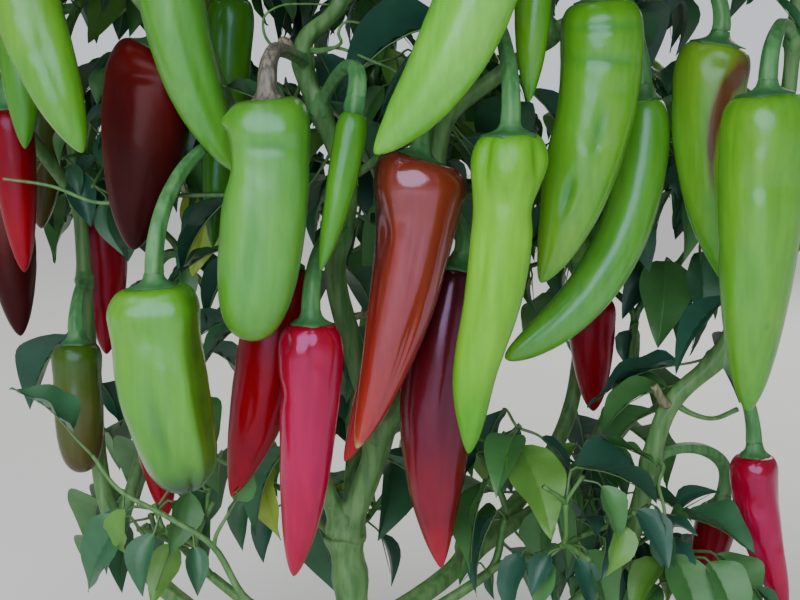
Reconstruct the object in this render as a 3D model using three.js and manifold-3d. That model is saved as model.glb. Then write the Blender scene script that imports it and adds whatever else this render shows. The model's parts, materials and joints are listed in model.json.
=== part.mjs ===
// A fruiting chilli pepper plant, in millimetres, +Z up. The origin is the flat cut under the main stem.
// One woody green stem forks again and again, long peppers hang from the forks on thick stalks,
// and the leaves stand in masses round the tips of the boughs, mostly above the fruit.

import * as THREE from 'three';
import Module from 'manifold-3d';

const wasm = await Module();
wasm.setup();

const GAP = 0.4; // clear space left where one piece meets another
const SMALLEST_DETAIL = 0.12; // slivers finer than this are left out where pieces are joined
const UP = new THREE.Vector3(0, 0, 1);

// Stems
const LIMB_STEP = 32; // length of one straight stretch of a limb
const LIMB_SIDES = 6;
const FOOT_FLARE = 4.5; // how far the main stem widens at the ground
const FLARE_HEIGHT = 22;

// Fruit
const STALK_RISE = 34; // a fruit hangs this far below where its stalk leaves the limb, if it can
const STALK_ARCH = 0.28; // how high a stalk arches, beside its reach
const STALK_LIMB_RADIUS = 3.0;
const STALK_CALYX_RADIUS = 4.6;
const CALYX_NECK = 9; // length over which the stalk opens into the calyx
const CALYX_SHARE = 0.55; // calyx radius beside the fruit's
const SLIM_WIDTH = 30; // fruit narrower than this has fewer sides

// Leaves and twigs
const FORK_LEVELS = 3;
const STEM_SHARE = 0.3; // how far a mass's stem goes from its bough's tip to the mass's centre
const STEM_SAG = 4;
const LOW_STEM_SHARE = 0.66; // the same for one that starts at the main stem
const LOW_STEM_SAG = -8;
const LOW_STEM_DROP = 0.1;
const TWIG_SIDES = 3;
const TWIG_RADII = [3.4, 2.8, 2.4, 2.1];
const TWIG_LENGTHS = [0, 42, 36, 30];
const TWIG_SPREAD = 0.7; // half the angle between two twigs of a fork, in radians
const TWIG_RISE = 0.1; // how much each twig turns upwards
const FULL_REACH = 95; // a mass of less reach than this has shorter twigs
const TWIG_TRIES = 6; // a twig that doesn't fit is tried again, turned, closed in and shorter
const TWIG_TRY_TURN = 0.5;
const TWIG_TRY_CLOSE = 0.14;
const TWIG_TRY_SHRINK = 0.1;
const TWIG_CLEARANCE = 3;
const TWIG_INSET = 3.5; // twigs and leaves stay this far inside their mass's space
const LEAF_INSET = 2;
const NODE_HALF = 2.4; // a node on a twig reaches this far each way
const LEAVES_AT_FORK = 2;
const LEAVES_AT_END = 3;
const LEAF_LENGTH = 92; // stalk and blade of a full leaf
const LEAF_STALK_SHARE = 0.27;
const LEAF_WIDEST_SHARE = 0.55; // where along the whole leaf the blade is widest
const LEAF_HALF_WIDTH_SHARE = 0.22;
const LEAF_THICKNESS = 1.3;
const LEAF_NECK = 1.3; // half the width of a leaf's stalk where its blade begins
const LEAF_SAG_SHARE = 0.06; // how far a leaf's tip hangs below its blade's direction
const LEAF_SHARPEST = -0.1; // cosine of the sharpest bend from a leaf's stalk to its blade
const LEAF_CLEARANCE = 7; // from a leaf's sample points to a limb or fruit
const LEAF_TRIES = 10; // a leaf that doesn't fit is tried again, turned, drooped and smaller
const LEAF_TRY_TURN = 2.4;
const LEAF_TRY_DROOP = 0.18;
const LEAF_TRY_SHRINK = 0.06;
const LEAF_CROSSING = 0.000001; // a leaf may not share more than this volume with a twig or leaf
const FIRST_LEAF_DRAW = 10;
const DRAWS_PER_LEAF = 6;
const FRUIT_CLEARANCE = 4;
const CROWN_MIDDLE = [20, 20]; // the crown's middle seen from above

const v = ([x, y, z]) => new THREE.Vector3(x, y, z);

// Each limb runs through its places, from the axis of the limb that it grows from, and tapers evenly.
const LIMBS = [
  { name: 'main_stem', radii: [9.8, 8.6], through: [[0, 0, 0], [-1, 0, 70], [-1, 0, 127], [-5, 0, 165]] },
  {
    name: 'bough_centre', radii: [7.2, 3.8],
    through: [[-5, 0, 165], [13, 0, 220], [3, -5, 264], [-9, -10, 315], [-2, -15, 364], [-25, -24, 430],
      [-3, -12, 462], [25, 5, 545]],
  },
  {
    name: 'bough_left', radii: [5.4, 3.4],
    through: [[-5, 0, 165], [-16, -5, 196], [-28, -6, 243], [-48, -8, 323], [-62, -14, 398],
      [-105, -42, 508]],
  },
  {
    name: 'bough_right', radii: [6.2, 3.4],
    through: [[13, 0, 220], [50, -14, 284], [43, -12, 330], [50, -16, 400], [72, -34, 455], [102, -60, 508]],
  },
  {
    name: 'bough_far_right', radii: [6.8, 3.8],
    through: [[0, 0, 48], [70, 8, 74], [150, 16, 142], [176, 12, 232], [208, 10, 272], [228, -4, 350],
      [236, -14, 490]],
  },
  {
    name: 'bough_back_left', radii: [6.6, 3.6],
    through: [[0, 0, 60], [-70, 36, 84], [-150, 80, 140], [-166, 90, 242], [-171, 92, 348], [-178, 92, 440]],
  },
  {
    name: 'bough_back', radii: [6.4, 3.6],
    through: [[-2, 0, 140], [0, 56, 214], [10, 104, 310], [20, 148, 430]],
  },
  {
    name: 'bough_back_right', radii: [6.2, 3.6],
    through: [[0, 0, 104], [66, 52, 134], [132, 104, 206], [146, 134, 320], [156, 148, 430]],
  },
  {
    name: 'branch_right', radii: [4.4, 3.2],
    through: [[50, -16, 400], [104, -24, 440], [148, -32, 474], [176, -44, 506]],
  },
  {
    name: 'branch_front_left', radii: [4.0, 3.2],
    through: [[-62, -14, 398], [-98, -62, 452], [-130, -112, 500]],
  },
  {
    name: 'branch_left', radii: [4.2, 3.2],
    through: [[-171, 92, 348], [-198, 54, 402], [-214, 22, 456]],
  },
  {
    name: 'branch_front', radii: [4.0, 3.2],
    through: [[-3, -12, 462], [2, -56, 484], [10, -102, 508]],
  },
  {
    name: 'branch_mid_left', radii: [4.4, 3.2],
    through: [[-150, 80, 140], [-132, 118, 214], [-116, 138, 288]],
  },
  {
    name: 'branch_mid_back', radii: [4.4, 3.2],
    through: [[0, 56, 214], [22, 104, 246], [30, 138, 286]],
  },
  {
    name: 'branch_mid_right', radii: [4.4, 3.2],
    through: [[66, 52, 134], [132, 76, 178], [170, 96, 244]],
  },
];

// Each kind of pepper: how much it narrows, how full its middle is, its waist, how far its shoulders
// stand out, and how blunt its end.
const SHAPES = {
  horn: { taper: 0.3, belly: 0, waist: 0, collar: 0, end: 4, roundness: 1.55 },
  tapered: { taper: 0.45, belly: 0, waist: 0, collar: 0.14, end: 4, roundness: 1.55 },
  waisted: { taper: 0.1, belly: 0.04, waist: 0.04, collar: 0.2, end: 3.6, roundness: 1.5 },
  spindle: { taper: 0.05, belly: 0.42, waist: 0, collar: 0, end: 4, roundness: 1.4 },
  fat: { taper: 0.16, belly: 0.22, waist: 0, collar: 0, end: 3.4, roundness: 1.6 },
  block: { taper: 0.12, belly: 0.08, waist: 0.04, collar: 0, end: 9, roundness: 2 },
  slim: { taper: 0.1, belly: 0.12, waist: 0, collar: 0, end: 3, roundness: 1.5 },
  blunt: { taper: 0.12, belly: 0.1, waist: 0, collar: 0, end: 6, roundness: 1.9 },
};

const GREEN = 0x6f9e35;
const TURNING = 0x7c2a12;
const RED = 0xa80f16;
const STEM = 0x587b3a;
const LEAF = 0x2f5a2c;

// Each large pepper, by its calyx, its tip, its width, and how far its middle bows off the straight line.
const FRUITS = [
  { name: 'fruit_green_edge', on: 'branch_left', calyx: [-178, -14, 464], tip: [-172, -18, 382], width: 25,
    bow: [2, 0, 0], shape: 'slim', colour: GREEN },
  { name: 'fruit_green_left', on: 'branch_front_left', calyx: [-157, -84, 476], tip: [-125, -88, 382],
    width: 36, bow: [-2, 0, 0], shape: 'horn', colour: GREEN },
  { name: 'fruit_red_edge', on: 'branch_left', calyx: [-189, 16, 402], tip: [-185, 18, 312], width: 26,
    bow: [0, 0, 0], rise: -4, shape: 'horn', colour: RED },
  { name: 'fruit_turning_edge', on: 'branch_left', calyx: [-201, 42, 350], tip: [-195, 40, 272], width: 30,
    bow: [0, 0, 0], shape: 'fat', colour: TURNING },
  { name: 'fruit_maroon', on: 'bough_left', calyx: [-100, -30, 431], tip: [-113, -35, 330], width: 49,
    bow: [0, 0, 0], shape: 'fat', colour: TURNING },
  { name: 'fruit_green_bent', on: 'bough_left', calyx: [-86, -70, 484], tip: [-55, -50, 370], width: 33,
    bow: [-8, 0, -4], shape: 'slim', colour: GREEN },
  { name: 'fruit_green_shade', on: 'bough_left', calyx: [-66, 16, 462], tip: [-78, 10, 327], width: 28,
    bow: [0, 4, 0], shape: 'horn', colour: GREEN },
  { name: 'fruit_green_block', on: 'bough_centre', calyx: [-36, -95, 405], tip: [-48, -90, 292], width: 45,
    bow: [3, 0, 0], arch: 0.06, shape: 'block', colour: GREEN },
  { name: 'fruit_green_thin', on: 'bough_centre', calyx: [4, -88, 400], tip: [-12, -92, 326], width: 16,
    bow: [1, 0, 0], rise: 0, shape: 'slim', colour: GREEN },
  { name: 'fruit_green_top', on: 'bough_right', calyx: [69, -118, 481], tip: [14, -104, 382], width: 38,
    bow: [6, 0, -6], shape: 'fat', colour: GREEN },
  { name: 'fruit_green_small', on: 'branch_right', calyx: [91, -68, 476], tip: [89, -68, 406], width: 19,
    bow: [0, 0, 0], rise: -30, shape: 'slim', colour: GREEN },
  { name: 'fruit_brown', on: 'bough_right', calyx: [36, -72, 377], tip: [4, -70, 233], width: 50,
    bow: [6, 0, 0], shape: 'tapered', colour: TURNING },
  { name: 'fruit_lime', on: 'bough_right', calyx: [77, -102, 388], tip: [59, -100, 238], width: 38,
    bow: [3, 0, 0], hook: [0, 0, -4], arch: 0.2, shape: 'waisted', colour: GREEN },
  { name: 'fruit_green_ripple', on: 'branch_right', calyx: [124, -62, 453], tip: [97, -60, 316], width: 43,
    bow: [10, 0, 0], shape: 'horn', colour: GREEN },
  { name: 'fruit_green_sickle', on: 'branch_right', calyx: [154, -20, 407], tip: [82, -26, 271], width: 28,
    bow: [20, 0, -14], shape: 'blunt', colour: GREEN },
  { name: 'fruit_green_streak', on: 'branch_right', calyx: [189, -30, 434], tip: [208, -24, 303], width: 40,
    bow: [-10, 0, 0], shape: 'horn', colour: GREEN },
  { name: 'fruit_green_right', on: 'bough_far_right', calyx: [203, -76, 408], tip: [201, -70, 252], width: 46,
    bow: [0, 0, 0], shape: 'horn', colour: GREEN },
  { name: 'fruit_green_front', on: 'bough_left', calyx: [-92, -92, 316], tip: [-76, -92, 217], width: 47,
    bow: [-4, 0, 0], rise: 48, shape: 'block', colour: GREEN },
  { name: 'fruit_red_back', on: 'bough_left', calyx: [-34, -44, 323], tip: [-63, -44, 200], width: 36,
    bow: [4, 0, 0], shape: 'spindle', colour: RED },
  { name: 'fruit_crimson', on: 'bough_centre', calyx: [-18, -78, 297], tip: [-28, -76, 168], width: 33,
    bow: [2, 0, 0], shape: 'horn', colour: RED },
  { name: 'fruit_red_slim', on: 'bough_right', calyx: [16, -26, 278], tip: [-4, -24, 214], width: 19,
    bow: [3, 0, 0], shape: 'slim', colour: RED },
  { name: 'fruit_dark_red', on: 'bough_right', calyx: [56, -42, 321], tip: [48, -44, 161], width: 41,
    bow: [-7, 0, 0], shape: 'spindle', colour: TURNING },
  { name: 'fruit_red_far', on: 'bough_back_right', calyx: [143, 84, 288], tip: [147, 90, 216], width: 31,
    bow: [0, 0, 0], shape: 'horn', colour: RED },
  { name: 'fruit_red_low', on: 'bough_far_right', calyx: [235, 40, 200], tip: [258, 40, 106], width: 29,
    bow: [-5, 0, 0], shape: 'horn', colour: RED },
  { name: 'fruit_red_lowest', on: 'bough_far_right', calyx: [222, 64, 162], tip: [204, 64, 84], width: 27,
    bow: [0, 0, 0], shape: 'horn', colour: RED },
  { name: 'fruit_green_behind', on: 'bough_back_left', calyx: [-167, 58, 264], tip: [-166, 56, 186],
    width: 31, bow: [0, 0, 0], shape: 'block', colour: GREEN },
  { name: 'fruit_red_behind', on: 'bough_back_left', calyx: [-162, 122, 334], tip: [-164, 124, 246],
    width: 31, bow: [0, 0, 0], shape: 'horn', colour: RED },
  { name: 'fruit_red_small', on: 'branch_mid_left', calyx: [-130, 92, 206], tip: [-121, 88, 149], width: 25,
    bow: [0, 0, 0], shape: 'horn', colour: RED },
];

// Each mass of leaves keeps to an ellipsoid about its centre, and to its side of the planes between
// it and the others. hung is how many peppers hang inside it.
const MASSES = [
  { name: 'crown_top', from: 'bough_centre',
    centre: [28, 22, 626], reach: [114, 112, 100], seed: 3 },
  { name: 'crown_front', from: 'branch_front',
    centre: [18, -152, 572], reach: [108, 96, 88], seed: 7 },
  { name: 'crown_front_left', from: 'branch_front_left',
    centre: [-156, -142, 566], reach: [108, 96, 88], seed: 11 },
  { name: 'crown_upper_left', from: 'bough_left',
    centre: [-112, -20, 594], reach: [104, 96, 96], seed: 13 },
  { name: 'crown_front_right', from: 'bough_right',
    centre: [156, -126, 576], reach: [108, 96, 90], seed: 17 },
  { name: 'crown_right', from: 'bough_far_right',
    centre: [236, 6, 554], reach: [100, 104, 98], seed: 19, hung: 1 },
  { name: 'crown_left', from: 'branch_left',
    centre: [-230, 4, 520], reach: [94, 104, 98], seed: 23, hung: 1 },
  { name: 'crown_back_left', from: 'bough_back_left',
    centre: [-158, 146, 520], reach: [108, 102, 104], seed: 29, hung: 1 },
  { name: 'crown_back', from: 'bough_back',
    centre: [16, 190, 516], reach: [108, 98, 106], seed: 31, hung: 1 },
  { name: 'crown_back_right', from: 'bough_back_right',
    centre: [176, 156, 522], reach: [106, 102, 104], seed: 37, hung: 1 },
  { name: 'middle_left', from: 'branch_mid_left',
    centre: [-124, 150, 358], reach: [112, 98, 104], seed: 41, hung: 1 },
  { name: 'middle_back', from: 'branch_mid_back',
    centre: [38, 150, 352], reach: [104, 94, 102], seed: 43 },
  { name: 'middle_right', from: 'branch_mid_right',
    centre: [182, 116, 334], reach: [102, 94, 98], seed: 47 },
  { name: 'low_right', from: 'main_stem', at: [0, 0, 100],
    centre: [116, 0, 176], reach: [78, 60, 68], seed: 53 },
  { name: 'low_far_right', from: 'main_stem', at: [0, 0, 30],
    centre: [196, 36, 120], reach: [84, 66, 84], seed: 59 },
  { name: 'low_left', from: 'main_stem', at: [0, 0, 86],
    centre: [-126, 20, 172], reach: [54, 52, 62], seed: 61 },
  { name: 'low_back', from: 'main_stem', at: [0, 0, 74],
    centre: [-20, 132, 166], reach: [96, 86, 88], seed: 67 },
];

// A number from 0 to 1 that depends only on the mass, the fork and which draw it is.
function chance(seed, fork, draw) {
  let a = (Math.imul(seed, 0x9e3779b1) + Math.imul(fork, 0x85ebca6b) + Math.imul(draw, 0xc2b2ae35)) | 0;
  a = Math.imul(a ^ (a >>> 15), a | 1);
  a ^= a + Math.imul(a ^ (a >>> 7), a | 61);
  return ((a ^ (a >>> 14)) >>> 0) / 4294967296;
}

// Points along a path, with the direction of the path at each and two axes square to it.
function framed(points, firstDirection) {
  let side = new THREE.Vector3(1, 0, 0);
  return points.map((at, i) => {
    const next = points[Math.min(i + 1, points.length - 1)];
    const along = next.clone().sub(points[Math.max(i - 1, 0)]).normalize();
    if (i === 0 && firstDirection) along.copy(firstDirection);
    side = side.clone().addScaledVector(along, -side.dot(along)).normalize();
    return { at, along, side, other: along.clone().cross(side) };
  });
}

// A closed solid through rings of equal count: flat at its start, and flat or pointed at its end.
function loftSolid(rings, tip) {
  const count = rings[0].length;
  const points = rings.flat();
  const faces = [];
  for (let j = 1; j < count - 1; j += 1) faces.push(0, j + 1, j);
  for (let i = 0; i < rings.length - 1; i += 1) {
    for (let j = 0; j < count; j += 1) {
      const a = i * count + j;
      const b = i * count + ((j + 1) % count);
      faces.push(a, b, b + count, a, b + count, a + count);
    }
  }
  const last = (rings.length - 1) * count;
  if (tip) {
    for (let j = 0; j < count; j += 1) faces.push(last + j, last + ((j + 1) % count), points.length);
    points.push(tip);
  } else {
    for (let j = 1; j < count - 1; j += 1) faces.push(last, last + j, last + j + 1);
  }
  return closedSolid(points, faces);
}

// A solid to join and cut, made from a closed geometry of points and triangles.
function closedSolid(points, faces) {
  const geometry = new THREE.BufferGeometry().setFromPoints(points).setIndex(faces);
  const vertProperties = geometry.getAttribute('position').array;
  const triVerts = new Uint32Array(geometry.getIndex().array);
  return new wasm.Manifold(new wasm.Mesh({ numProp: 3, vertProperties, triVerts }));
}

function ring(frame, radius, sides) {
  return Array.from({ length: sides }, (_, j) => {
    const angle = (2 * Math.PI * j) / sides;
    return frame.at.clone()
      .addScaledVector(frame.side, radius * Math.cos(angle))
      .addScaledVector(frame.other, radius * Math.sin(angle));
  });
}

function tube(frames, radii, sides) {
  return loftSolid(frames.map((frame, i) => ring(frame, radii[i], sides)));
}

// The outside piece of a solid: loose scraps and sealed hollows are dropped.
function largest(solid) {
  return solid.decompose().reduce((best, piece) => (piece.volume() > best.volume() ? piece : best));
}

// A limb's path and radii, from its list of places.
function limbOf(spec) {
  const curve = new THREE.CatmullRomCurve3(spec.through.map(v), false, 'catmullrom', 0.5);
  const steps = Math.max(4, Math.round(curve.getLength() / LIMB_STEP));
  const points = Array.from({ length: steps + 1 }, (_, i) => curve.getPoint(i / steps));
  const isFoot = spec.through[0][2] === 0;
  const radii = points.map((p, i) => {
    const flare = isFoot ? FOOT_FLARE * Math.exp(-p.z / FLARE_HEIGHT) : 0;
    return spec.radii[0] + ((spec.radii[1] - spec.radii[0]) * i) / steps + flare;
  });
  return { name: spec.name, points, radii, firstDirection: isFoot ? UP : undefined };
}

// The room that other pieces keep out of: the limb, a gap wider and longer all over.
function roomOf(path) {
  const frames = framed(path.points, path.firstDirection);
  frames[0].at = frames[0].at.clone().addScaledVector(frames[0].along, -GAP);
  const end = frames[frames.length - 1];
  end.at = end.at.clone().addScaledVector(end.along, GAP);
  return tube(frames, path.radii.map((r) => r + GAP), path.sides ?? LIMB_SIDES);
}

// Short straight pieces, each with a radius, that stand for a path when distances are measured.
function capsules(path) {
  return path.points.slice(1).map((b, i) => ({
    a: path.points[i], b, radius: Math.max(path.radii[i], path.radii[i + 1]),
  }));
}

function distanceTo(point, capsule) {
  const line = new THREE.Line3(capsule.a, capsule.b);
  return line.closestPointToPoint(point, true, new THREE.Vector3()).distanceTo(point) - capsule.radius;
}

const isClear = (points, obstacles, clearance) => points.every(
  (p) => obstacles.every((capsule) => distanceTo(p, capsule) > clearance),
);

// A pepper's radius along its body, from 0 at the calyx to 1 at the tip, as a share of its greatest.
function profile(share, shape) {
  const { taper, belly, waist, collar, end, roundness } = SHAPES[shape];
  const shoulder = Math.min(1, 0.62 + 0.38 * Math.sqrt(share / 0.07));
  const fullness = Math.sin(Math.PI * Math.min(1, 0.18 + 0.72 * share));
  const middle = (1 - taper * share) * (1 - belly + belly * fullness);
  const pinch = 1 - waist * Math.exp(-(((share - 0.24) / 0.11) ** 2));
  const below = 1 - collar * (1 - Math.exp(-((share / 0.16) ** 2)));
  return shoulder * middle * pinch * below * (1 - share ** end) ** (1 / roundness);
}

// A pepper on its stalk: the path runs from inside the limb, down the stalk, and along the body.
function pepperOf(spec, root) {
  const calyx = v(spec.calyx);
  const tip = v(spec.tip);
  const middle = calyx.clone().add(tip).multiplyScalar(0.5).add(v(spec.bow));
  const body = new THREE.QuadraticBezierCurve3(calyx, middle.clone().multiplyScalar(2)
    .addScaledVector(calyx, -0.5).addScaledVector(tip, -0.5), tip);
  const hanging = body.getTangent(0).negate();
  const reach = root.distanceTo(calyx);
  const stalk = new THREE.CubicBezierCurve3(
    root,
    root.clone().lerp(calyx, 0.3).addScaledVector(UP, (spec.arch ?? STALK_ARCH) * reach),
    calyx.clone().addScaledVector(hanging, Math.max(18, 0.5 * reach)).add(v(spec.hook ?? [0, 0, 0])),
    calyx.clone().addScaledVector(hanging, CALYX_NECK),
  );
  return { ...spec, body, stalk, radius: spec.width / 2 };
}

function pepperPath(pepper, stalkSteps, bodyShares) {
  const points = [];
  const radii = [];
  for (let i = 0; i <= stalkSteps; i += 1) {
    points.push(pepper.stalk.getPoint(i / stalkSteps));
    radii.push(STALK_LIMB_RADIUS + (STALK_CALYX_RADIUS - STALK_LIMB_RADIUS) * (i / stalkSteps) ** 2);
  }
  const neck = Math.min(1, (0.8 * pepper.radius) / STALK_CALYX_RADIUS);
  const scaled = radii.map((r) => r * neck);
  bodyShares.forEach((share) => {
    points.push(pepper.body.getPoint(share));
    scaled.push(share === 0 ? pepper.radius * CALYX_SHARE : pepper.radius * profile(share, pepper.shape));
  });
  return { points, radii: scaled };
}

function pepperSolid(pepper) {
  const path = pepperPath(pepper, 4, [0, 0.025, 0.13, 0.36, 0.62, 0.84, 0.95]);
  const sides = pepper.width < SLIM_WIDTH ? 6 : 7;
  const frames = framed(path.points);
  return loftSolid(frames.map((frame, i) => ring(frame, path.radii[i], sides)), pepper.body.getPoint(1));
}

// Where a stalk leaves its limb: the limb's nearest point to a place above the calyx, short of its end.
function stalkRoot(limb, calyx, rise = STALK_RISE) {
  const above = v(calyx).addScaledVector(UP, rise);
  const line = new THREE.Line3();
  const near = limb.points.slice(1, -1).map((b, i) => line.set(limb.points[i], b)
    .closestPointToPoint(above, true, new THREE.Vector3()));
  return near.reduce((best, p) => (p.distanceTo(above) < best.distanceTo(above) ? p : best));
}

function meanReach(mass) {
  return (mass.reach[0] + mass.reach[1] + mass.reach[2]) / 3;
}

// Whether points lie in a mass's own space, at least margin inside it.
function inSpace(points, mass, margin) {
  const centre = v(mass.centre);
  return points.every((p) => {
    const off = p.clone().sub(centre);
    const scaled = off.clone().divide(v(mass.reach));
    if (scaled.length() > 1 || p.z < margin) return false;
    return MASSES.every((other) => {
      if (other === mass) return true;
      const apart = v(other.centre).sub(centre);
      const share = meanReach(mass) / (meanReach(mass) + meanReach(other));
      return off.dot(apart) / apart.length() < apart.length() * share - margin;
    });
  });
}

// The stem that carries a mass towards its centre, from its bough's tip or, low down, from the main
// stem's side.
function massStem(mass, limbs) {
  const limb = limbs.get(mass.from);
  const start = mass.at ? v(mass.at) : limb.points[limb.points.length - 1].clone();
  const end = start.clone().lerp(v(mass.centre), mass.at ? LOW_STEM_SHARE : STEM_SHARE);
  if (mass.at) end.z -= LOW_STEM_DROP * mass.reach[2];
  const middle = start.clone().lerp(end, 0.5).addScaledVector(UP, mass.at ? LOW_STEM_SAG : STEM_SAG);
  const curve = new THREE.QuadraticBezierCurve3(start, middle, end);
  const points = [0, 0.5, 1].map((t) => curve.getPoint(t));
  return { points, radii: points.map(() => TWIG_RADII[0]), sides: TWIG_SIDES };
}

const twigCapsules = (forks) => forks.filter((fork) => fork.from)
  .map((fork) => ({ a: fork.from.at, b: fork.at, radius: TWIG_RADII[fork.level] }));

// One twig of a fork, to its own fork. Each later try turns it, closes it in and makes it shorter.
function twigFrom(mass, parent, id, attempt) {
  const sign = id % 2 === 0 ? -1 : 1;
  const hinge = new THREE.Vector3(1, 0, 0).cross(parent.heading).normalize()
    .applyAxisAngle(parent.heading, parent.roll + TWIG_TRY_TURN * attempt);
  const spread = TWIG_SPREAD * (0.8 + 0.5 * chance(mass.seed, id, 1)) * (1 - TWIG_TRY_CLOSE * attempt);
  const heading = parent.heading.clone().applyAxisAngle(hinge, sign * spread)
    .addScaledVector(UP, TWIG_RISE).normalize();
  const level = parent.level + 1;
  const vigour = Math.min(1, meanReach(mass) / FULL_REACH) * (1 - TWIG_TRY_SHRINK * attempt);
  const length = TWIG_LENGTHS[level] * vigour * (0.85 + 0.3 * chance(mass.seed, id, 2));
  const roll = parent.roll + Math.PI / 2 + 0.7 * (chance(mass.seed, id, 3) - 0.5);
  return { id, level, from: parent, at: parent.at.clone().addScaledVector(heading, length), heading, roll };
}

// The twigs of a mass, as forks that branch by two. Fork n leads to forks 2n and 2n + 1, where they fit
// in the mass's space and clear of other pieces and twigs.
function growTwigs(mass, stem, obstacles) {
  const start = stem.points[stem.points.length - 1];
  const heading = v(mass.centre).sub(start).normalize().lerp(UP, 0.15).normalize();
  const forks = [{ id: 1, level: 0, at: start, heading, roll: 2 * Math.PI * chance(mass.seed, 1, 0) }];
  for (let i = 0; i < forks.length; i += 1) {
    const parent = forks[i];
    const strangers = twigCapsules(forks.filter((fork) => fork.from !== parent && fork !== parent));
    const ids = parent.level < FORK_LEVELS ? [2 * parent.id, 2 * parent.id + 1] : [];
    ids.forEach((id) => {
      const room = TWIG_CLEARANCE + TWIG_RADII[parent.level + 1];
      const tries = Array.from({ length: TWIG_TRIES }, (_, attempt) => twigFrom(mass, parent, id, attempt));
      const fitting = tries.find(({ at }) => {
        const spots = [0, 0.35, 0.7].map((back) => at.clone().lerp(parent.at, back));
        return inSpace(spots, mass, TWIG_INSET) && isClear(spots, [...obstacles, ...strangers], room);
      });
      if (fitting) forks.push(fitting);
    });
  }
  return forks;
}

// Faces of a three-sided tube between two triangles, joined corner to nearest corner. Each side folds
// outwards.
function sleeve(points, lower, upper) {
  const middle = (ids) => ids.reduce((sum, i) => sum.add(points[i]), new THREE.Vector3()).divideScalar(3);
  const [low, high] = [middle(lower), middle(upper)];
  const twist = (shift) => lower.reduce((sum, a, i) => {
    const b = points[upper[(i + shift) % 3]];
    return sum + points[a].clone().sub(low).normalize().distanceTo(b.clone().sub(high).normalize());
  }, 0);
  const shift = [0, 1, 2].reduce((best, k) => (twist(k) < twist(best) ? k : best));
  const top = [0, 1, 2].map((i) => upper[(i + shift) % 3]);
  return [0, 1, 2].flatMap((i) => {
    const j = (i + 1) % 3;
    const rising = new THREE.Triangle(points[lower[i]], points[lower[j]], points[top[j]]);
    return rising.getPlane(new THREE.Plane()).distanceToPoint(points[top[i]]) <= 0
      ? [lower[i], lower[j], top[j], lower[i], top[j], top[i]]
      : [lower[i], lower[j], top[i], lower[j], top[j], top[i]];
  });
}

// The triangle faces of a twig's node that leaves grow from: three round its sides, and one at its end.
function socketsOf(fork) {
  const [before, after] = fork.rings;
  const sides = [0, 1, 2].map((i) => [before[i], before[(i + 1) % 3], after[(i + 1) % 3]]);
  return [...sides, after];
}

// A leaf on one face of a node. Each later try turns it, droops it more and makes it smaller.
function leafOn(mass, fork, socket, draw, attempt) {
  const face = new THREE.Triangle(...socket);
  const normal = face.getNormal(new THREE.Vector3());
  const root = face.getMidpoint(new THREE.Vector3());
  const outward = fork.at.clone().sub(v(mass.centre)).normalize();
  const turn = 2 * Math.PI * chance(mass.seed, fork.id, draw) + LEAF_TRY_TURN * attempt;
  const edge = socket[1].clone().sub(socket[0]).normalize().applyAxisAngle(normal, turn);
  const stalk = normal.clone().addScaledVector(edge, 0.5).addScaledVector(outward, 0.35)
    .addScaledVector(UP, 0.1).normalize();
  const droop = 0.3 + 0.7 * chance(mass.seed, fork.id, draw + 1) + LEAF_TRY_DROOP * attempt;
  const blade = stalk.clone().addScaledVector(outward, 0.3).addScaledVector(UP, -droop).normalize();
  const facing = UP.clone().addScaledVector(outward, 0.5);
  const across = blade.clone().cross(facing).normalize()
    .applyAxisAngle(blade, 0.7 * (chance(mass.seed, fork.id, draw + 2) - 0.5));
  const under = across.clone().cross(blade);
  if (under.z > 0) {
    across.negate();
    under.negate();
  }
  const size = (0.85 + 0.3 * chance(mass.seed, fork.id, draw + 3)) * (1 - LEAF_TRY_SHRINK * attempt);
  return { socket, normal, root, stalk, blade, across, under, length: LEAF_LENGTH * size };
}

// Places on a leaf: its stalk's end, the middle and edges of its widest part, and its tip.
function leafPlaces(leaf) {
  const neck = leaf.root.clone().addScaledVector(leaf.stalk, LEAF_STALK_SHARE * leaf.length);
  const widestShare = LEAF_WIDEST_SHARE - LEAF_STALK_SHARE;
  const widest = neck.clone().addScaledVector(leaf.blade, widestShare * leaf.length);
  const tip = neck.clone().addScaledVector(leaf.blade, (1 - LEAF_STALK_SHARE) * leaf.length)
    .addScaledVector(UP, -LEAF_SAG_SHARE * leaf.length);
  const half = leaf.across.clone().multiplyScalar(LEAF_HALF_WIDTH_SHARE * leaf.length);
  return { neck, widest, tip, left: widest.clone().sub(half), right: widest.clone().add(half) };
}

function leafSamples(leaf) {
  const { neck, widest, tip, left, right } = leafPlaces(leaf);
  const between = (a, b, t) => a.clone().lerp(b, t);
  return [neck, widest, tip, left, right, between(neck, left, 0.6), between(neck, right, 0.6),
    between(widest, left, 0.5), between(widest, right, 0.5), between(neck, widest, 0.5),
    between(tip, left, 0.5), between(tip, right, 0.5), between(tip, widest, 0.5)];
}

// A leaf's points beyond its root: a stalk of three sides, and a blade with a flat face and a ridge below.
function leafPoints(leaf) {
  const { neck, widest, tip, left, right } = leafPlaces(leaf);
  const bend = leaf.across.clone().cross(leaf.stalk.clone().add(leaf.blade)).normalize();
  return [
    neck.clone().addScaledVector(bend, LEAF_NECK),
    neck.clone().addScaledVector(leaf.across, LEAF_NECK),
    neck.clone().addScaledVector(leaf.across, -LEAF_NECK),
    left, right, widest.clone().addScaledVector(leaf.under, LEAF_THICKNESS), tip,
  ];
}

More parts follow.
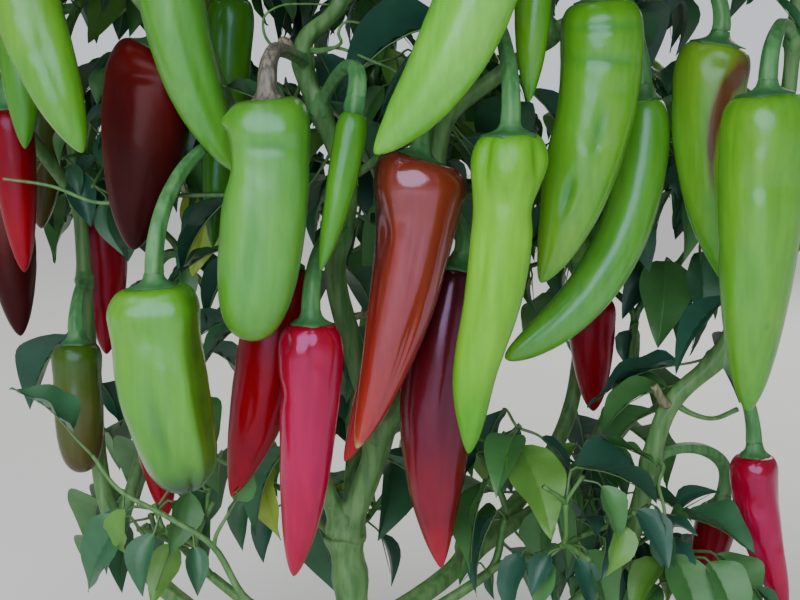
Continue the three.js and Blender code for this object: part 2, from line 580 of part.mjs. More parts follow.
// The faces of a leaf that grows from three of the points, with its own points last among them.
function leafFaces(points, base) {
  const fromEnd = [7, 6, 5, 4, 3, 2, 1].map((i) => points.length - i);
  const [neckUnder, neckRight, neckLeft, left, right, keel, tip] = fromEnd;
  return [
    ...sleeve(points, base, [neckUnder, neckRight, neckLeft]),
    neckLeft, left, right, neckLeft, right, neckRight, left, tip, right,
    neckUnder, keel, neckLeft, neckLeft, keel, left, left, keel, tip,
    neckUnder, neckRight, keel, neckRight, right, keel, right, tip, keel,
  ];
}

function leafSolid(leaf) {
  const points = [...leaf.socket, ...leafPoints(leaf)];
  return closedSolid(points, [0, 2, 1, ...leafFaces(points, [0, 1, 2])]);
}

// The leaves of a mass: each is the first try that keeps to the mass's space and clear of all near it.
function growLeaves(mass, forks, twigs, obstacles) {
  const leaves = [];
  const fits = (leaf) => {
    const spots = leafSamples(leaf);
    return leaf.stalk.dot(leaf.blade) > LEAF_SHARPEST && inSpace(spots, mass, LEAF_INSET)
      && isClear(spots, obstacles, LEAF_CLEARANCE);
  };
  const isFree = (solid) => solid.volume() > 0 && solid.intersect(twigs).volume() < LEAF_CROSSING
    && leaves.every((other) => solid.intersect(other.solid).volume() < LEAF_CROSSING);
  forks.forEach((fork) => {
    const sockets = socketsOf(fork);
    const open = [0, 1, 2, 3].filter((i) => !fork.taken.has(i));
    const count = fork.taken.has(3) ? LEAVES_AT_FORK : LEAVES_AT_END;
    for (let index = 0; index < count; index += 1) {
      for (let attempt = 0; attempt < LEAF_TRIES; attempt += 1) {
        const place = open[(open.length - 1 + attempt) % open.length];
        const draw = FIRST_LEAF_DRAW + DRAWS_PER_LEAF * index;
        const leaf = leafOn(mass, fork, sockets[place], draw, attempt);
        const solid = fits(leaf) ? leafSolid(leaf) : undefined;
        if (solid && isFree(solid)) {
          leaves.push({ ...leaf, solid, fork, place });
          open.splice(open.indexOf(place), 1);
          break;
        }
      }
    }
  });
  return leaves;
}

// The peppers that hang inside a mass, from its first forks, where there is room for them.
function hangPeppers(mass, forks, obstacles) {
  const made = [];
  const twigs = twigCapsules(forks);
  forks.filter((fork) => fork.level < 2).forEach((fork) => {
    if (made.length >= (mass.hung ?? 0)) return;
    const outward = fork.at.clone().sub(new THREE.Vector3(...CROWN_MIDDLE, fork.at.z)).normalize();
    const length = 95 + 45 * chance(mass.seed, fork.id, 31);
    const calyx = fork.at.clone().addScaledVector(outward, 26).addScaledVector(UP, -22);
    const tip = calyx.clone().addScaledVector(UP, -length).addScaledVector(outward, 8);
    const spec = {
      calyx: calyx.toArray(), tip: tip.toArray(), bow: [0, 0, 0], shape: 'horn',
      width: 30 + 12 * chance(mass.seed, fork.id, 32),
    };
    const pepper = pepperOf(spec, fork.at.clone());
    const body = bodyCapsules(pepper);
    const spots = body.map((capsule) => capsule.a).concat([calyx, tip]);
    const near = [...obstacles, ...twigs, ...made.flatMap((other) => other.capsules)];
    if (tip.z > 20 && isClear(spots, near, pepper.radius + FRUIT_CLEARANCE)) {
      made.push({ ...pepper, capsules: body });
    }
  });
  return made;
}

function bodyCapsules(pepper) {
  const shares = [0, 0.15, 0.3, 0.45, 0.6, 0.75, 0.9, 1];
  const points = shares.map((share) => pepper.body.getPoint(share));
  const radii = shares.map((share) => pepper.radius * profile(Math.min(share, 0.9), pepper.shape));
  return capsules({ points, radii });
}

// Gives each node of the twigs two rings of three points, with one side turned towards its second twig.
function ringNodes(stem, forks) {
  const byId = new Map(forks.map((fork) => [fork.id, fork]));
  forks.forEach((fork) => {
    const before = fork.from ? fork.from.at : stem.points[stem.points.length - 2];
    const first = byId.get(2 * fork.id);
    const second = byId.get(2 * fork.id + 1);
    const along = fork.at.clone().sub(before).normalize();
    if (first) along.add(first.at.clone().sub(fork.at).normalize()).normalize();
    const towards = second ? second.at.clone().sub(fork.at) : fork.at.clone().sub(before).cross(UP);
    const side = towards.addScaledVector(along, -towards.dot(along)).normalize();
    const other = along.clone().cross(side);
    const radius = TWIG_RADII[fork.level];
    fork.rings = [-NODE_HALF, NODE_HALF].map((offset) => [-1, 1, 3].map((third) => fork.at.clone()
      .addScaledVector(along, offset)
      .addScaledVector(side, radius * Math.cos((third * Math.PI) / 3))
      .addScaledVector(other, radius * Math.sin((third * Math.PI) / 3))));
    fork.taken = new Set([...(first ? [3] : []), ...(second ? [0] : [])]);
  });
}

// One closed skin over a mass's stem, its twigs and the leaves that grow from their nodes.
function massSkin(stem, forks, leaves) {
  const points = [];
  const faces = [];
  const add = (list) => list.map((p) => points.push(p) - 1);
  const rings = framed(stem.points.slice(0, -1))
    .map((frame, i) => add(ring(frame, stem.radii[i], TWIG_SIDES)));
  faces.push(rings[0][0], rings[0][2], rings[0][1]);
  for (let i = 1; i < rings.length; i += 1) faces.push(...sleeve(points, rings[i - 1], rings[i]));
  const skins = new Map();
  forks.forEach((fork) => {
    const [before, after] = fork.rings.map(add);
    const sides = [0, 1, 2].map((i) => [before[i], before[(i + 1) % 3], after[(i + 1) % 3]]);
    skins.set(fork, { after, sides });
    const parent = fork.from ? skins.get(fork.from) : undefined;
    const start = parent ? [parent.after, parent.sides[0]][fork.id % 2] : rings[rings.length - 1];
    faces.push(...sleeve(points, start, before));
    [0, 1, 2].forEach((i) => faces.push(before[i], after[(i + 1) % 3], after[i]));
  });
  leaves.forEach((leaf) => {
    const skin = skins.get(leaf.fork);
    const base = [...skin.sides, skin.after][leaf.place];
    add(leafPoints(leaf));
    faces.push(...leafFaces(points, base));
  });
  forks.forEach((fork) => {
    const skin = skins.get(fork);
    const leafy = leaves.filter((leaf) => leaf.fork === fork).map((leaf) => leaf.place);
    [...skin.sides, skin.after].forEach((face, place) => {
      if (!fork.taken.has(place) && !leafy.includes(place)) faces.push(...face);
    });
  });
  return closedSolid(points, faces);
}

function buildMass(mass, stem, forks, peppers, obstacles) {
  ringNodes(stem, forks);
  const leaves = growLeaves(mass, forks, massSkin(stem, forks, []), obstacles);
  const skin = massSkin(stem, forks, leaves);
  return peppers.map(pepperSolid).reduce((joined, pepper) => joined.add(pepper), skin);
}

function meshOf(name, solid, colour, roughness) {
  const { numProp, vertProperties, triVerts } = solid.getMesh();
  const positions = new Float32Array((vertProperties.length / numProp) * 3);
  for (let i = 0; i < positions.length / 3; i += 1) {
    positions.set(vertProperties.subarray(i * numProp, i * numProp + 3), i * 3);
  }
  const geometry = new THREE.BufferGeometry();
  geometry.setAttribute('position', new THREE.BufferAttribute(positions, 3));
  geometry.setIndex(new THREE.BufferAttribute(triVerts, 1));
  geometry.computeVertexNormals();
  const material = new THREE.MeshStandardMaterial({ color: colour, roughness, metalness: 0 });
  const mesh = new THREE.Mesh(geometry, material);
  mesh.name = name;
  return mesh;
}

const plant = new THREE.Group();
plant.name = 'chilli_pepper_plant';

// Stems: each is cut clear of those made before it.
const limbs = new Map(LIMBS.map((spec) => [spec.name, limbOf(spec)]));
const rooms = [];
limbs.forEach((limb) => {
  const whole = tube(framed(limb.points, limb.firstDirection), limb.radii, LIMB_SIDES);
  const clear = largest(rooms.reduce((left, room) => left.subtract(room), whole));
  rooms.push(roomOf(limb));
  plant.add(meshOf(limb.name, clear, STEM, 0.7));
});

// Peppers that hang from the boughs.
const peppers = FRUITS.map((spec) => pepperOf(spec, stalkRoot(limbs.get(spec.on), spec.calyx, spec.rise)));
peppers.forEach((pepper) => {
  const clear = largest(rooms.reduce((left, room) => left.subtract(room), pepperSolid(pepper)));
  plant.add(meshOf(pepper.name, clear, pepper.colour, 0.3));
});

// Masses of leaves.
const stems = MASSES.map((mass) => massStem(mass, limbs));
const obstacles = [...limbs.values()].flatMap(capsules);
peppers.forEach((pepper) => {
  obstacles.push(...bodyCapsules(pepper), ...capsules(pepperPath(pepper, 6, [])));
});
const stemCapsules = stems.map(capsules);
const placed = [];
const grown = MASSES.map((mass, i) => {
  const near = [...obstacles, ...stemCapsules.filter((_, k) => k !== i).flat(), ...placed];
  const forks = growTwigs(mass, stems[i], near);
  const hung = hangPeppers(mass, forks, near);
  placed.push(...twigCapsules(forks), ...hung.flatMap((pepper) => pepper.capsules));
  return { forks, hung };
});
const hungCapsules = grown.map(({ hung }) => hung.flatMap(
  (pepper) => [...pepper.capsules, ...capsules(pepperPath(pepper, 4, []))],
));
MASSES.forEach((mass, i) => {
  const others = [...stemCapsules, ...hungCapsules].filter((_, k) => k % MASSES.length !== i).flat();
  const { forks, hung } = grown[i];
  const own = hung.flatMap((pepper) => pepper.capsules);
  const whole = buildMass(mass, stems[i], forks, hung, [...obstacles, ...others, ...own]);
  const cutClear = rooms.reduce((left, room) => left.subtract(room), whole);
  const clear = largest(cutClear.asOriginal().simplify(SMALLEST_DETAIL));
  plant.add(meshOf(mass.name, clear, LEAF, 0.6));
});

export default plant;
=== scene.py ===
"""The looks of a fruiting chilli pepper plant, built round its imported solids.

Plant sizes are in millimetres until a piece is made. The limbs, peppers and masses of leaves follow the
same rule as the solids, carried on to finer twigs and more leaves.
"""

import json
import math

import bpy
import numpy as np
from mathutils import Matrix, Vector
from mathutils.bvhtree import BVHTree

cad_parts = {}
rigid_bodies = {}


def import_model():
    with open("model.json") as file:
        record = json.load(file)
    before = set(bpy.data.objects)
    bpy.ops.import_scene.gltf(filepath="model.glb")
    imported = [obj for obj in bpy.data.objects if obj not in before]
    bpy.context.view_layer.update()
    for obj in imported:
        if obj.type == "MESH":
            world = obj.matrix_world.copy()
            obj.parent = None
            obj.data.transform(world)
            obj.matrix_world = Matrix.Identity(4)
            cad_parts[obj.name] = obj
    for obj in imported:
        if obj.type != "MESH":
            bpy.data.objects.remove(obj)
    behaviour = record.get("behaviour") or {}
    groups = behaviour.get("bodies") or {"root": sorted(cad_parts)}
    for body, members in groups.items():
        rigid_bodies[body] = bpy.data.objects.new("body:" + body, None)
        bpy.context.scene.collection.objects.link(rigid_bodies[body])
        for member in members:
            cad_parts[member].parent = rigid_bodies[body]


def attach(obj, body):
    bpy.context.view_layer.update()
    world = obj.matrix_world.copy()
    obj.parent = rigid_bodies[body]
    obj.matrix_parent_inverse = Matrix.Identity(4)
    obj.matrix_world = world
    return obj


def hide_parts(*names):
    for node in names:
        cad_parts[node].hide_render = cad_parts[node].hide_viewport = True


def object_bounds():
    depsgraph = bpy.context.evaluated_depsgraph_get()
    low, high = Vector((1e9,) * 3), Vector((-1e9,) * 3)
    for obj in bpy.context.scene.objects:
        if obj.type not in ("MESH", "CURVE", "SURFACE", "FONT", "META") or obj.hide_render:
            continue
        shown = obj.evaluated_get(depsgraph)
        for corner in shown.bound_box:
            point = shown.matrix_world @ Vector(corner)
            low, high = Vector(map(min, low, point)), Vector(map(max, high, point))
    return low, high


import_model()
cad_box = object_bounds()

MM = 0.001
BOX_SPARE = 5
BOX_LOW = np.array(cad_box[0]) / MM - BOX_SPARE  # finer twigs and leaves keep to the solids' box
BOX_HIGH = np.array(cad_box[1]) / MM + BOX_SPARE
UP = np.array([0.0, 0.0, 1.0])
TURN = 2 * math.pi

# Stems
LIMB_STEP = 32
FOOT_FLARE = 4.5
FLARE_HEIGHT = 22
SKIN_STEP = 2.6  # length of one ring's stretch on a stem's skin
STEM_SIDES = 20
BLEND = 2.0  # how softly one stem's skin runs into another's
BLEND_ROUNDS = 4
BLEND_MOST = 1.8  # the furthest that a skin is moved out, in blends
JOINT_REACH = 26  # how far from another stem a skin still feels it
JOINT_STRETCH = 30
RIB_TURN = 0.004  # how fast a stem's ribs wind round it, for each millimetre
STREAKS = 13
STREAK_DEPTH = 0.012
LUMP_DEPTH = 0.02
FOOT_CORK = 0.55
FOOT_CORK_HEIGHT = 45
KNUCKLE = 0.16  # how much a stem swells where another leaves it
KNUCKLE_WIDTH = 7

# Peppers
STALK_RISE = 34
STALK_ARCH = 0.28  # how high a stalk arches, beside its reach
STALK_LIMB_RADIUS = 3.0
STALK_CALYX_RADIUS = 4.6
CALYX_NECK = 9
STALK_RIB_DEPTH = 0.07
STALK_BEND = 0.3  # where a stalk's first bend is, as a share of its reach
STALK_DROP_SHARE = 0.5
LEAST_STALK_DROP = 18
SOLID_BODY_SHARES = [0, 0.15, 0.3, 0.45, 0.6, 0.75, 0.9, 1]
HUNG_LENGTHS = (95, 45)  # here and below, a pair is the least and how much more there may be
HUNG_LENGTH_DRAW = 31
HUNG_WIDTHS = (30, 12)
HUNG_WIDTH_DRAW = 32
HUNG_OUT = 26  # how far outward of its fork a calyx is, and how far below it
HUNG_DOWN = 22
HUNG_LEAN = 8
LOWEST_TIP = 20

# Twigs and leaves
STEM_SHARE = 0.3
STEM_SAG = 4
LOW_STEM_SHARE = 0.66
LOW_STEM_SAG = -8
LOW_STEM_DROP = 0.1
SOLID_LEVELS = 3
FINE_LEVELS = 6
TWIG_RADII = [3.4, 2.8, 2.4, 2.1, 1.8, 1.6, 1.4]
TWIG_LENGTHS = [0, 42, 36, 30, 27, 24, 22]
TWIG_SPREAD = 0.7
TWIG_SPREADS = (0.8, 0.5)
TWIG_STRETCHES = (0.85, 0.3)
TWIG_ROLL = 0.7
TWIG_RISE = 0.1
TWIG_SPOTS = (0, 0.35, 0.7)  # how far back from its end a twig is tested
FULL_REACH = 95
TWIG_TRIES = 6
TWIG_TRY_TURN = 0.5
TWIG_TRY_CLOSE = 0.14
TWIG_TRY_SHRINK = 0.1
TWIG_CLEARANCE = 3
TWIG_INSET = 3.5
LEAF_INSET = 2
NODE_HALF = 2.4
LEAVES_AT_FORK = 2
LEAVES_AT_END = 3
LEAF_LENGTH = 92
LEAF_SIZES = (0.85, 0.3)
LEAF_DROOPS = (0.3, 0.7)
LEAF_ROLL = 0.7
LEAF_STALK_SHARE = 0.27
LEAF_WIDEST_SHARE = 0.55
LEAF_HALF_WIDTH_SHARE = 0.22
LEAF_SAG_SHARE = 0.06
LEAF_SHARPEST = -0.1
LEAF_CLEARANCE = 7
LEAF_TRIES = 10
LEAF_TRY_TURN = 2.4
LEAF_TRY_DROOP = 0.18
LEAF_TRY_SHRINK = 0.06
FIRST_LEAF_DRAW = 10
DRAWS_PER_LEAF = 6
FRUIT_CLEARANCE = 4
BOUGH_LEAF_TRIES = 16
BOUGH_LEAF_DROOPS = (0.3, 0.9)
BOUGH_LEAF_SIZES = (0.62, 0.36)
# Stretches of bough behind the peppers that bear leaves: from which share to which, and how many.
LEAFY_STRETCHES = [
    ("bough_centre", 0.36, 0.8, 8), ("bough_left", 0.36, 0.82, 8), ("bough_right", 0.45, 0.85, 8),
    ("branch_right", 0.1, 0.8, 7), ("branch_front_left", 0.1, 0.7, 3), ("bough_far_right", 0.5, 0.86, 8),
    ("bough_back_left", 0.4, 0.7, 5), ("branch_left", 0.1, 0.6, 3), ("branch_mid_right", 0.1, 0.85, 6),
    ("bough_back_right", 0.3, 0.7, 6), ("branch_mid_left", 0.2, 0.8, 4), ("bough_back", 0.3, 0.7, 5),
]
FINE_LEAF_CLEARANCE = 5
YOUNG_LEAF_CLEARANCE = 3
# How many small leaves each node tries to add, after all the others: more behind the peppers.
YOUNG_LEAVES = 3
DENSE = {"middle_back": 8, "crown_back": 6, "middle_left": 5, "middle_right": 5, "crown_front": 5}
LEAFY_DRAW = 60
FINE_SIZES = (0.62, 0.28)
YOUNG_SIZES = (0.34, 0.3)
MASS_SPARE = 60
CROWN_MIDDLE = [20, 20]
FULLNESS = {"low_left": 0.0, "low_back": 0.08, "low_right": 0.4, "low_far_right": 0.35}

# Each limb: its first and last radius, and the places that its middle passes.
LIMBS = {
    "main_stem": ([9.8, 8.6], [(0, 0, 0), (-1, 0, 70), (-1, 0, 127), (-5, 0, 165)]),
    "bough_centre": ([7.2, 3.8], [(-5, 0, 165), (13, 0, 220), (3, -5, 264), (-9, -10, 315), (-2, -15, 364),
        (-25, -24, 430), (-3, -12, 462), (25, 5, 545)]),
    "bough_left": ([5.4, 3.4], [(-5, 0, 165), (-16, -5, 196), (-28, -6, 243), (-48, -8, 323),
        (-62, -14, 398), (-105, -42, 508)]),
    "bough_right": ([6.2, 3.4], [(13, 0, 220), (50, -14, 284), (43, -12, 330), (50, -16, 400),
        (72, -34, 455), (102, -60, 508)]),
    "bough_far_right": ([6.8, 3.8], [(0, 0, 48), (70, 8, 74), (150, 16, 142), (176, 12, 232),
        (208, 10, 272), (228, -4, 350), (236, -14, 490)]),
    "bough_back_left": ([6.6, 3.6], [(0, 0, 60), (-70, 36, 84), (-150, 80, 140), (-166, 90, 242),
        (-171, 92, 348), (-178, 92, 440)]),
    "bough_back": ([6.4, 3.6], [(-2, 0, 140), (0, 56, 214), (10, 104, 310), (20, 148, 430)]),
    "bough_back_right": ([6.2, 3.6], [(0, 0, 104), (66, 52, 134), (132, 104, 206), (146, 134, 320),
        (156, 148, 430)]),
    "branch_right": ([4.4, 3.2], [(50, -16, 400), (104, -24, 440), (148, -32, 474), (176, -44, 506)]),
    "branch_front_left": ([4.0, 3.2], [(-62, -14, 398), (-98, -62, 452), (-130, -112, 500)]),
    "branch_left": ([4.2, 3.2], [(-171, 92, 348), (-198, 54, 402), (-214, 22, 456)]),
    "branch_front": ([4.0, 3.2], [(-3, -12, 462), (2, -56, 484), (10, -102, 508)]),
    "branch_mid_left": ([4.4, 3.2], [(-150, 80, 140), (-132, 118, 214), (-116, 138, 288)]),
    "branch_mid_back": ([4.4, 3.2], [(0, 56, 214), (22, 104, 246), (30, 138, 286)]),
    "branch_mid_right": ([4.4, 3.2], [(66, 52, 134), (132, 76, 178), (170, 96, 244)]),
}

# Each shape of pepper: how much it tapers, is thinner at its ends than in its belly, is pinched at its waist
# and narrows below its collar, how far it stays full before its tip, and how round the tip is.
SHAPES = {
    "horn": (0.3, 0, 0, 0, 4, 1.55),
    "tapered": (0.45, 0, 0, 0.14, 4, 1.55),
    "waisted": (0.1, 0.04, 0.04, 0.2, 3.6, 1.5),
    "spindle": (0.05, 0.42, 0, 0, 4, 1.4),
    "fat": (0.16, 0.22, 0, 0, 3.4, 1.6),
    "block": (0.12, 0.08, 0.04, 0, 9, 2),
    "slim": (0.1, 0.12, 0, 0, 3, 1.5),
    "blunt": (0.12, 0.1, 0, 0, 6, 1.9),
}

# Each large pepper: the limb it hangs from, where its calyx and tip are, its width and shape, and the look
# of its skin. lobes is how many rounded sides it has and how deep they are, and square how far it is
# squared off and which way one side faces. Each dent is its share along, its angle round (90 faces the
# front, 180 the left), its depth, how long it is as a share, and how many degrees wide. Each stain is its
# share along, its angle, how long and how wide it is, and its strength. Some are real stains; on
# fruit_green_block, fruit_green_ripple and fruit_green_front, the dark ones along a dent or on a side
# turned from the light are painted shade.
FRUITS = {
    "fruit_green_edge": ("branch_left", (-178, -14, 464), (-172, -18, 382), 25, "slim", "leaf_green",
        dict(bow=(2, 0, 0))),
    "fruit_green_left": ("branch_front_left", (-157, -84, 476), (-125, -88, 382), 36, "horn", "bright_green",
        dict(bow=(-2, 0, 0), lobes=(3, 0.03), dents=[(0.5, 70, 1.6, 0.3, 20)])),
    "fruit_red_edge": ("branch_left", (-189, 16, 402), (-185, 18, 312), 26, "horn", "red", {}),
    "fruit_turning_edge": ("branch_left", (-201, 42, 350), (-195, 40, 272), 30, "fat", "maroon", {}),
    "fruit_maroon": ("bough_left", (-100, -30, 431), (-113, -35, 330), 49, "fat", "maroon",
        dict(lobes=(3, 0.04), tilt=(4.5, 180), shoulder=2.0, dents=[(0.13, 95, 2.2, 0.035, 26),
         (0.05, 125, -1.4, 0.04, 18)], stains_and_shade=[(0.45, 175, 0.4, 26, 0.9)])),
    "fruit_green_bent": ("bough_left", (-86, -70, 484), (-55, -50, 370), 33, "slim", "green",
        dict(bow=(-8, 0, -4), lobes=(2, 0.03), dents=[(0.5, 60, 1.2, 0.25, 14)])),
    "fruit_green_shade": ("bough_left", (-66, 16, 462), (-78, 10, 327), 28, "horn", "leaf_green",
        dict(bow=(0, 4, 0))),
    "fruit_green_block": ("bough_centre", (-36, -95, 405), (-48, -90, 292), 45, "block", "green",
        dict(bow=(3, 0, 0), arch=0.06, cork=1.0, rim=0.34, lobes=(3, 0.012), square=(0.75, 84),
         shoulder=2.4, tilt=(1.2, 0), dents=[(0.165, 78, 0.9, 0.03, 44), (0.26, 180, 4.2, 0.13, 36),
         (0.075, 160, -2.8, 0.032, 16), (0.64, 100, 1.1, 0.2, 9), (0.1, 60, -0.8, 0.04, 14)],
         # Its two stains are painted shade: in the crease under its shoulder and in the long groove down its
         # front.
         stains_and_shade=[(0.165, 80, 0.02, 40, 0.8), (0.62, 98, 0.2, 10, 0.7)])),
    "fruit_green_thin": ("bough_centre", (4, -88, 400), (-12, -92, 326), 16, "slim", "leaf_green",
        dict(bow=(1, 0, 0))),
    "fruit_green_top": ("bough_right", (69, -118, 481), (14, -104, 382), 38, "fat", "pale_green",
        dict(bow=(6, 0, -6), lobes=(2, 0.03), dents=[(0.45, 130, 1.4, 0.3, 16), (0.6, 60, 1.2, 0.15, 20)])),
    "fruit_green_small": ("branch_right", (91, -68, 476), (89, -68, 406), 19, "slim", "bright_green", {}),
    "fruit_brown": ("bough_right", (36, -72, 377), (4, -70, 233), 50, "tapered", "brown",
        dict(bow=(6, 0, 0), lobes=(3, 0.035), shoulder=2.2, tilt=(3.4, 180), rim=0.42,
         dents=[(0.25, 140, 2.6, 0.1, 18), (0.18, 112, 1.0, 0.05, 14), (0.28, 80, 0.9, 0.13, 4.5),
         (0.26, 92, 0.8, 0.1, 4.5), (0.55, 150, 1.0, 0.2, 12), (0.6, 60, 0.9, 0.22, 9)],
         # The stain at 165 degrees darkens its left side and the large dent there.
         stains_and_shade=[(0.2, 165, 0.3, 30, 0.9), (0.1, 5, 0.1, 26, 0.5)])),
    "fruit_lime": ("bough_right", (77, -102, 388), (59, -100, 238), 38, "waisted", "lime",
        dict(bow=(3, 0, 0), hook=(0, 0, -4), arch=0.2, lobes=(3, 0.025), shoulder=3.2, tilt=(1.0, 0),
         rim=0.66, sway=(-5.5, 0.78), dents=[(0.06, 137, 2.6, 0.06, 10), (0.1, 96, -1.2, 0.035, 26),
         (0.18, 100, 1.4, 0.035, 18), (0.06, 45, 2.0, 0.05, 11), (0.2, 12, 2.2, 0.05, 34),
         (0.06, 12, -1.8, 0.045, 22), (0.4, 128, 1.0, 0.2, 12), (0.3, 60, 0.9, 0.05, 20),
         (0.6, 95, 0.8, 0.05, 14)])),
    "fruit_green_ripple": ("branch_right", (124, -62, 453), (97, -60, 316), 43, "horn", "bright_green",
        dict(bow=(10, 0, 0), lobes=(2, 0.02), shoulder=1.6, square=(0.3, 80),
         dents=[(0.085, 85, 1.0, 0.018, 62), (0.2, 92, 1.1, 0.02, 56), (0.3, 60, 0.7, 0.02, 24),
         (0.43, 90, 1.9, 0.07, 8), (0.49, 82, 1.4, 0.03, 24), (0.68, 116, 1.8, 0.07, 12),
         # Its stains are painted shade along the two crease bands across it and the two grooves down it, on
         # its dents.
         (0.62, 180, -4.5, 0.24, 52)], stains_and_shade=[(0.085, 88, 0.015, 50, 0.7), (0.2, 92, 0.02, 50, 0.7),
         (0.44, 90, 0.07, 9, 0.9), (0.68, 116, 0.07, 10, 0.9)])),
    "fruit_green_sickle": ("branch_right", (154, -20, 407), (82, -26, 271), 28, "blunt", "green",
        dict(bow=(20, 0, -14), lobes=(2, 0.03), dents=[(0.6, 70, 1.2, 0.2, 16)])),
    "fruit_green_streak": ("branch_right", (189, -30, 434), (208, -24, 303), 40, "horn", "streaked",
        dict(bow=(-10, 0, 0), lobes=(3, 0.04), shoulder=1.8, rim=0.68, dents=[(0.05, 95, 1.6, 0.03, 16),
         (0.35, 60, 1.6, 0.25, 14), (0.06, 50, -1.0, 0.04, 16)], stains_and_shade=[(0.07, 40, 0.06, 24, 1.0),
         (0.11, 64, 0.05, 13, 1.3), (0.17, 80, 0.06, 10, 1.5), (0.25, 91, 0.07, 8, 1.5),
         (0.34, 98, 0.08, 7, 1.4), (0.46, 101, 0.09, 5, 1.1)])),
    "fruit_green_right": ("bough_far_right", (203, -76, 408), (201, -70, 252), 46, "horn", "bright_green",
        dict(lobes=(3, 0.03), shoulder=1.8, tilt=(1.5, 0), dents=[(0.12, 130, 1.6, 0.05, 26),
         (0.3, 75, 1.2, 0.12, 14), (0.6, 120, 1.2, 0.14, 14), (0.26, 95, 1.3, 0.04, 50)],
         stains_and_shade=[(0.16, 20, 0.06, 20, 0.5), (0.8, 50, 0.02, 8, 0.8), (0.7, 80, 0.012, 5, 0.8)])),
    "fruit_green_front": ("bough_left", (-92, -92, 316), (-76, -92, 217), 47, "block", "stained",
        dict(bow=(-4, 0, 0), lobes=(3, 0.02), square=(0.6, 95), shoulder=2.4, tilt=(1.0, 0), rim=0.5,
         dents=[(0.96, 66, 4.0, 0.1, 13), (0.5, 52, -1.6, 0.5, 8), (0.5, 28, 1.6, 0.4, 16),
         (0.62, 97, 1.5, 0.25, 9), (0.1, 130, -1.2, 0.06, 30), (0.2, 97, 0.9, 0.06, 20),
         # Of its stains, the one at its tip is a real stain, the one at 22 degrees is painted shade on its
         # side turned from the light, and the one at 97 degrees is painted shade in its groove.
         (0.75, 150, 1.4, 0.2, 20)], stains_and_shade=[(1.0, 100, 0.1, 80, 1.0), (0.5, 22, 0.6, 20, 0.7),
         (0.64, 97, 0.2, 9, 0.45)])),
    "fruit_red_back": ("bough_left", (-34, -44, 323), (-63, -44, 200), 36, "spindle", "red",
        dict(bow=(4, 0, 0), dents=[(0.6, 110, 1.4, 0.12, 12), (0.72, 80, 1.0, 0.06, 16)])),
    "fruit_crimson": ("bough_centre", (-18, -78, 297), (-28, -76, 168), 33, "horn", "crimson",
        dict(bow=(2, 0, 0), lobes=(3, 0.035), shoulder=1.4, dents=[(0.06, 140, 2.4, 0.03, 16),
         (0.26, 165, 1.8, 0.05, 26), (0.1, 70, 0.8, 0.05, 14)])),
    "fruit_red_slim": ("bough_right", (16, -26, 278), (-4, -24, 214), 19, "slim", "scarlet",
        dict(bow=(3, 0, 0))),
    "fruit_dark_red": ("bough_right", (56, -42, 321), (48, -44, 161), 41, "spindle", "dark_red",
        dict(bow=(-7, 0, 0), lobes=(3, 0.03), dents=[(0.5, 75, 1.4, 0.2, 12), (0.7, 110, 1.0, 0.1, 14)])),
    "fruit_red_far": ("bough_back_right", (143, 84, 288), (147, 90, 216), 31, "horn", "red", {}),
    "fruit_red_low": ("bough_far_right", (235, 40, 200), (258, 40, 106), 29, "horn", "crimson",
        dict(bow=(-5, 0, 0), lobes=(3, 0.05), dents=[(0.3, 100, 1.6, 0.06, 20), (0.55, 60, 1.4, 0.06, 20)])),
    "fruit_red_lowest": ("bough_far_right", (222, 64, 162), (204, 64, 84), 27, "horn", "red", {}),
    "fruit_green_behind": ("bough_back_left", (-167, 58, 264), (-166, 56, 186), 31, "block", "turning", {}),
    "fruit_red_behind": ("bough_back_left", (-162, 122, 334), (-164, 124, 246), 31, "horn", "red", {}),
    "fruit_red_small": ("branch_mid_left", (-130, 92, 206), (-121, 88, 149), 25, "horn", "red", {}),
}
# How far above its calyx a stalk looks for its limb, where that isn't the usual rise.
STALK_RISES = {
    "fruit_red_edge": -4, "fruit_green_thin": 0, "fruit_green_small": -30, "fruit_green_front": 48,
}
HUNG_LOOKS = ["red", "bright_green", "maroon", "crimson", "lime", "turning"]

# The leaves of the bare shoot at the lower left: their roots, tips, and where their upper sides face.
SHOOT_LEAVES = [
    ((-137, -38, 221), (-174, -42, 265), (0.72, -0.2, 0.66)),
    ((-102, -38, 190), (-112, -54, 152), (-0.4, -0.8, 0.4)),
    ((-121, -38, 201), (-126, -26, 164), (-0.5, -0.7, -0.1)),
    ((-65, -38, 190), (-50, -44, 214), (0.6, -0.7, 0.4)),
    ((-85, -37, 180), (-80, -50, 150), (0.3, -0.9, 0.2)),
]

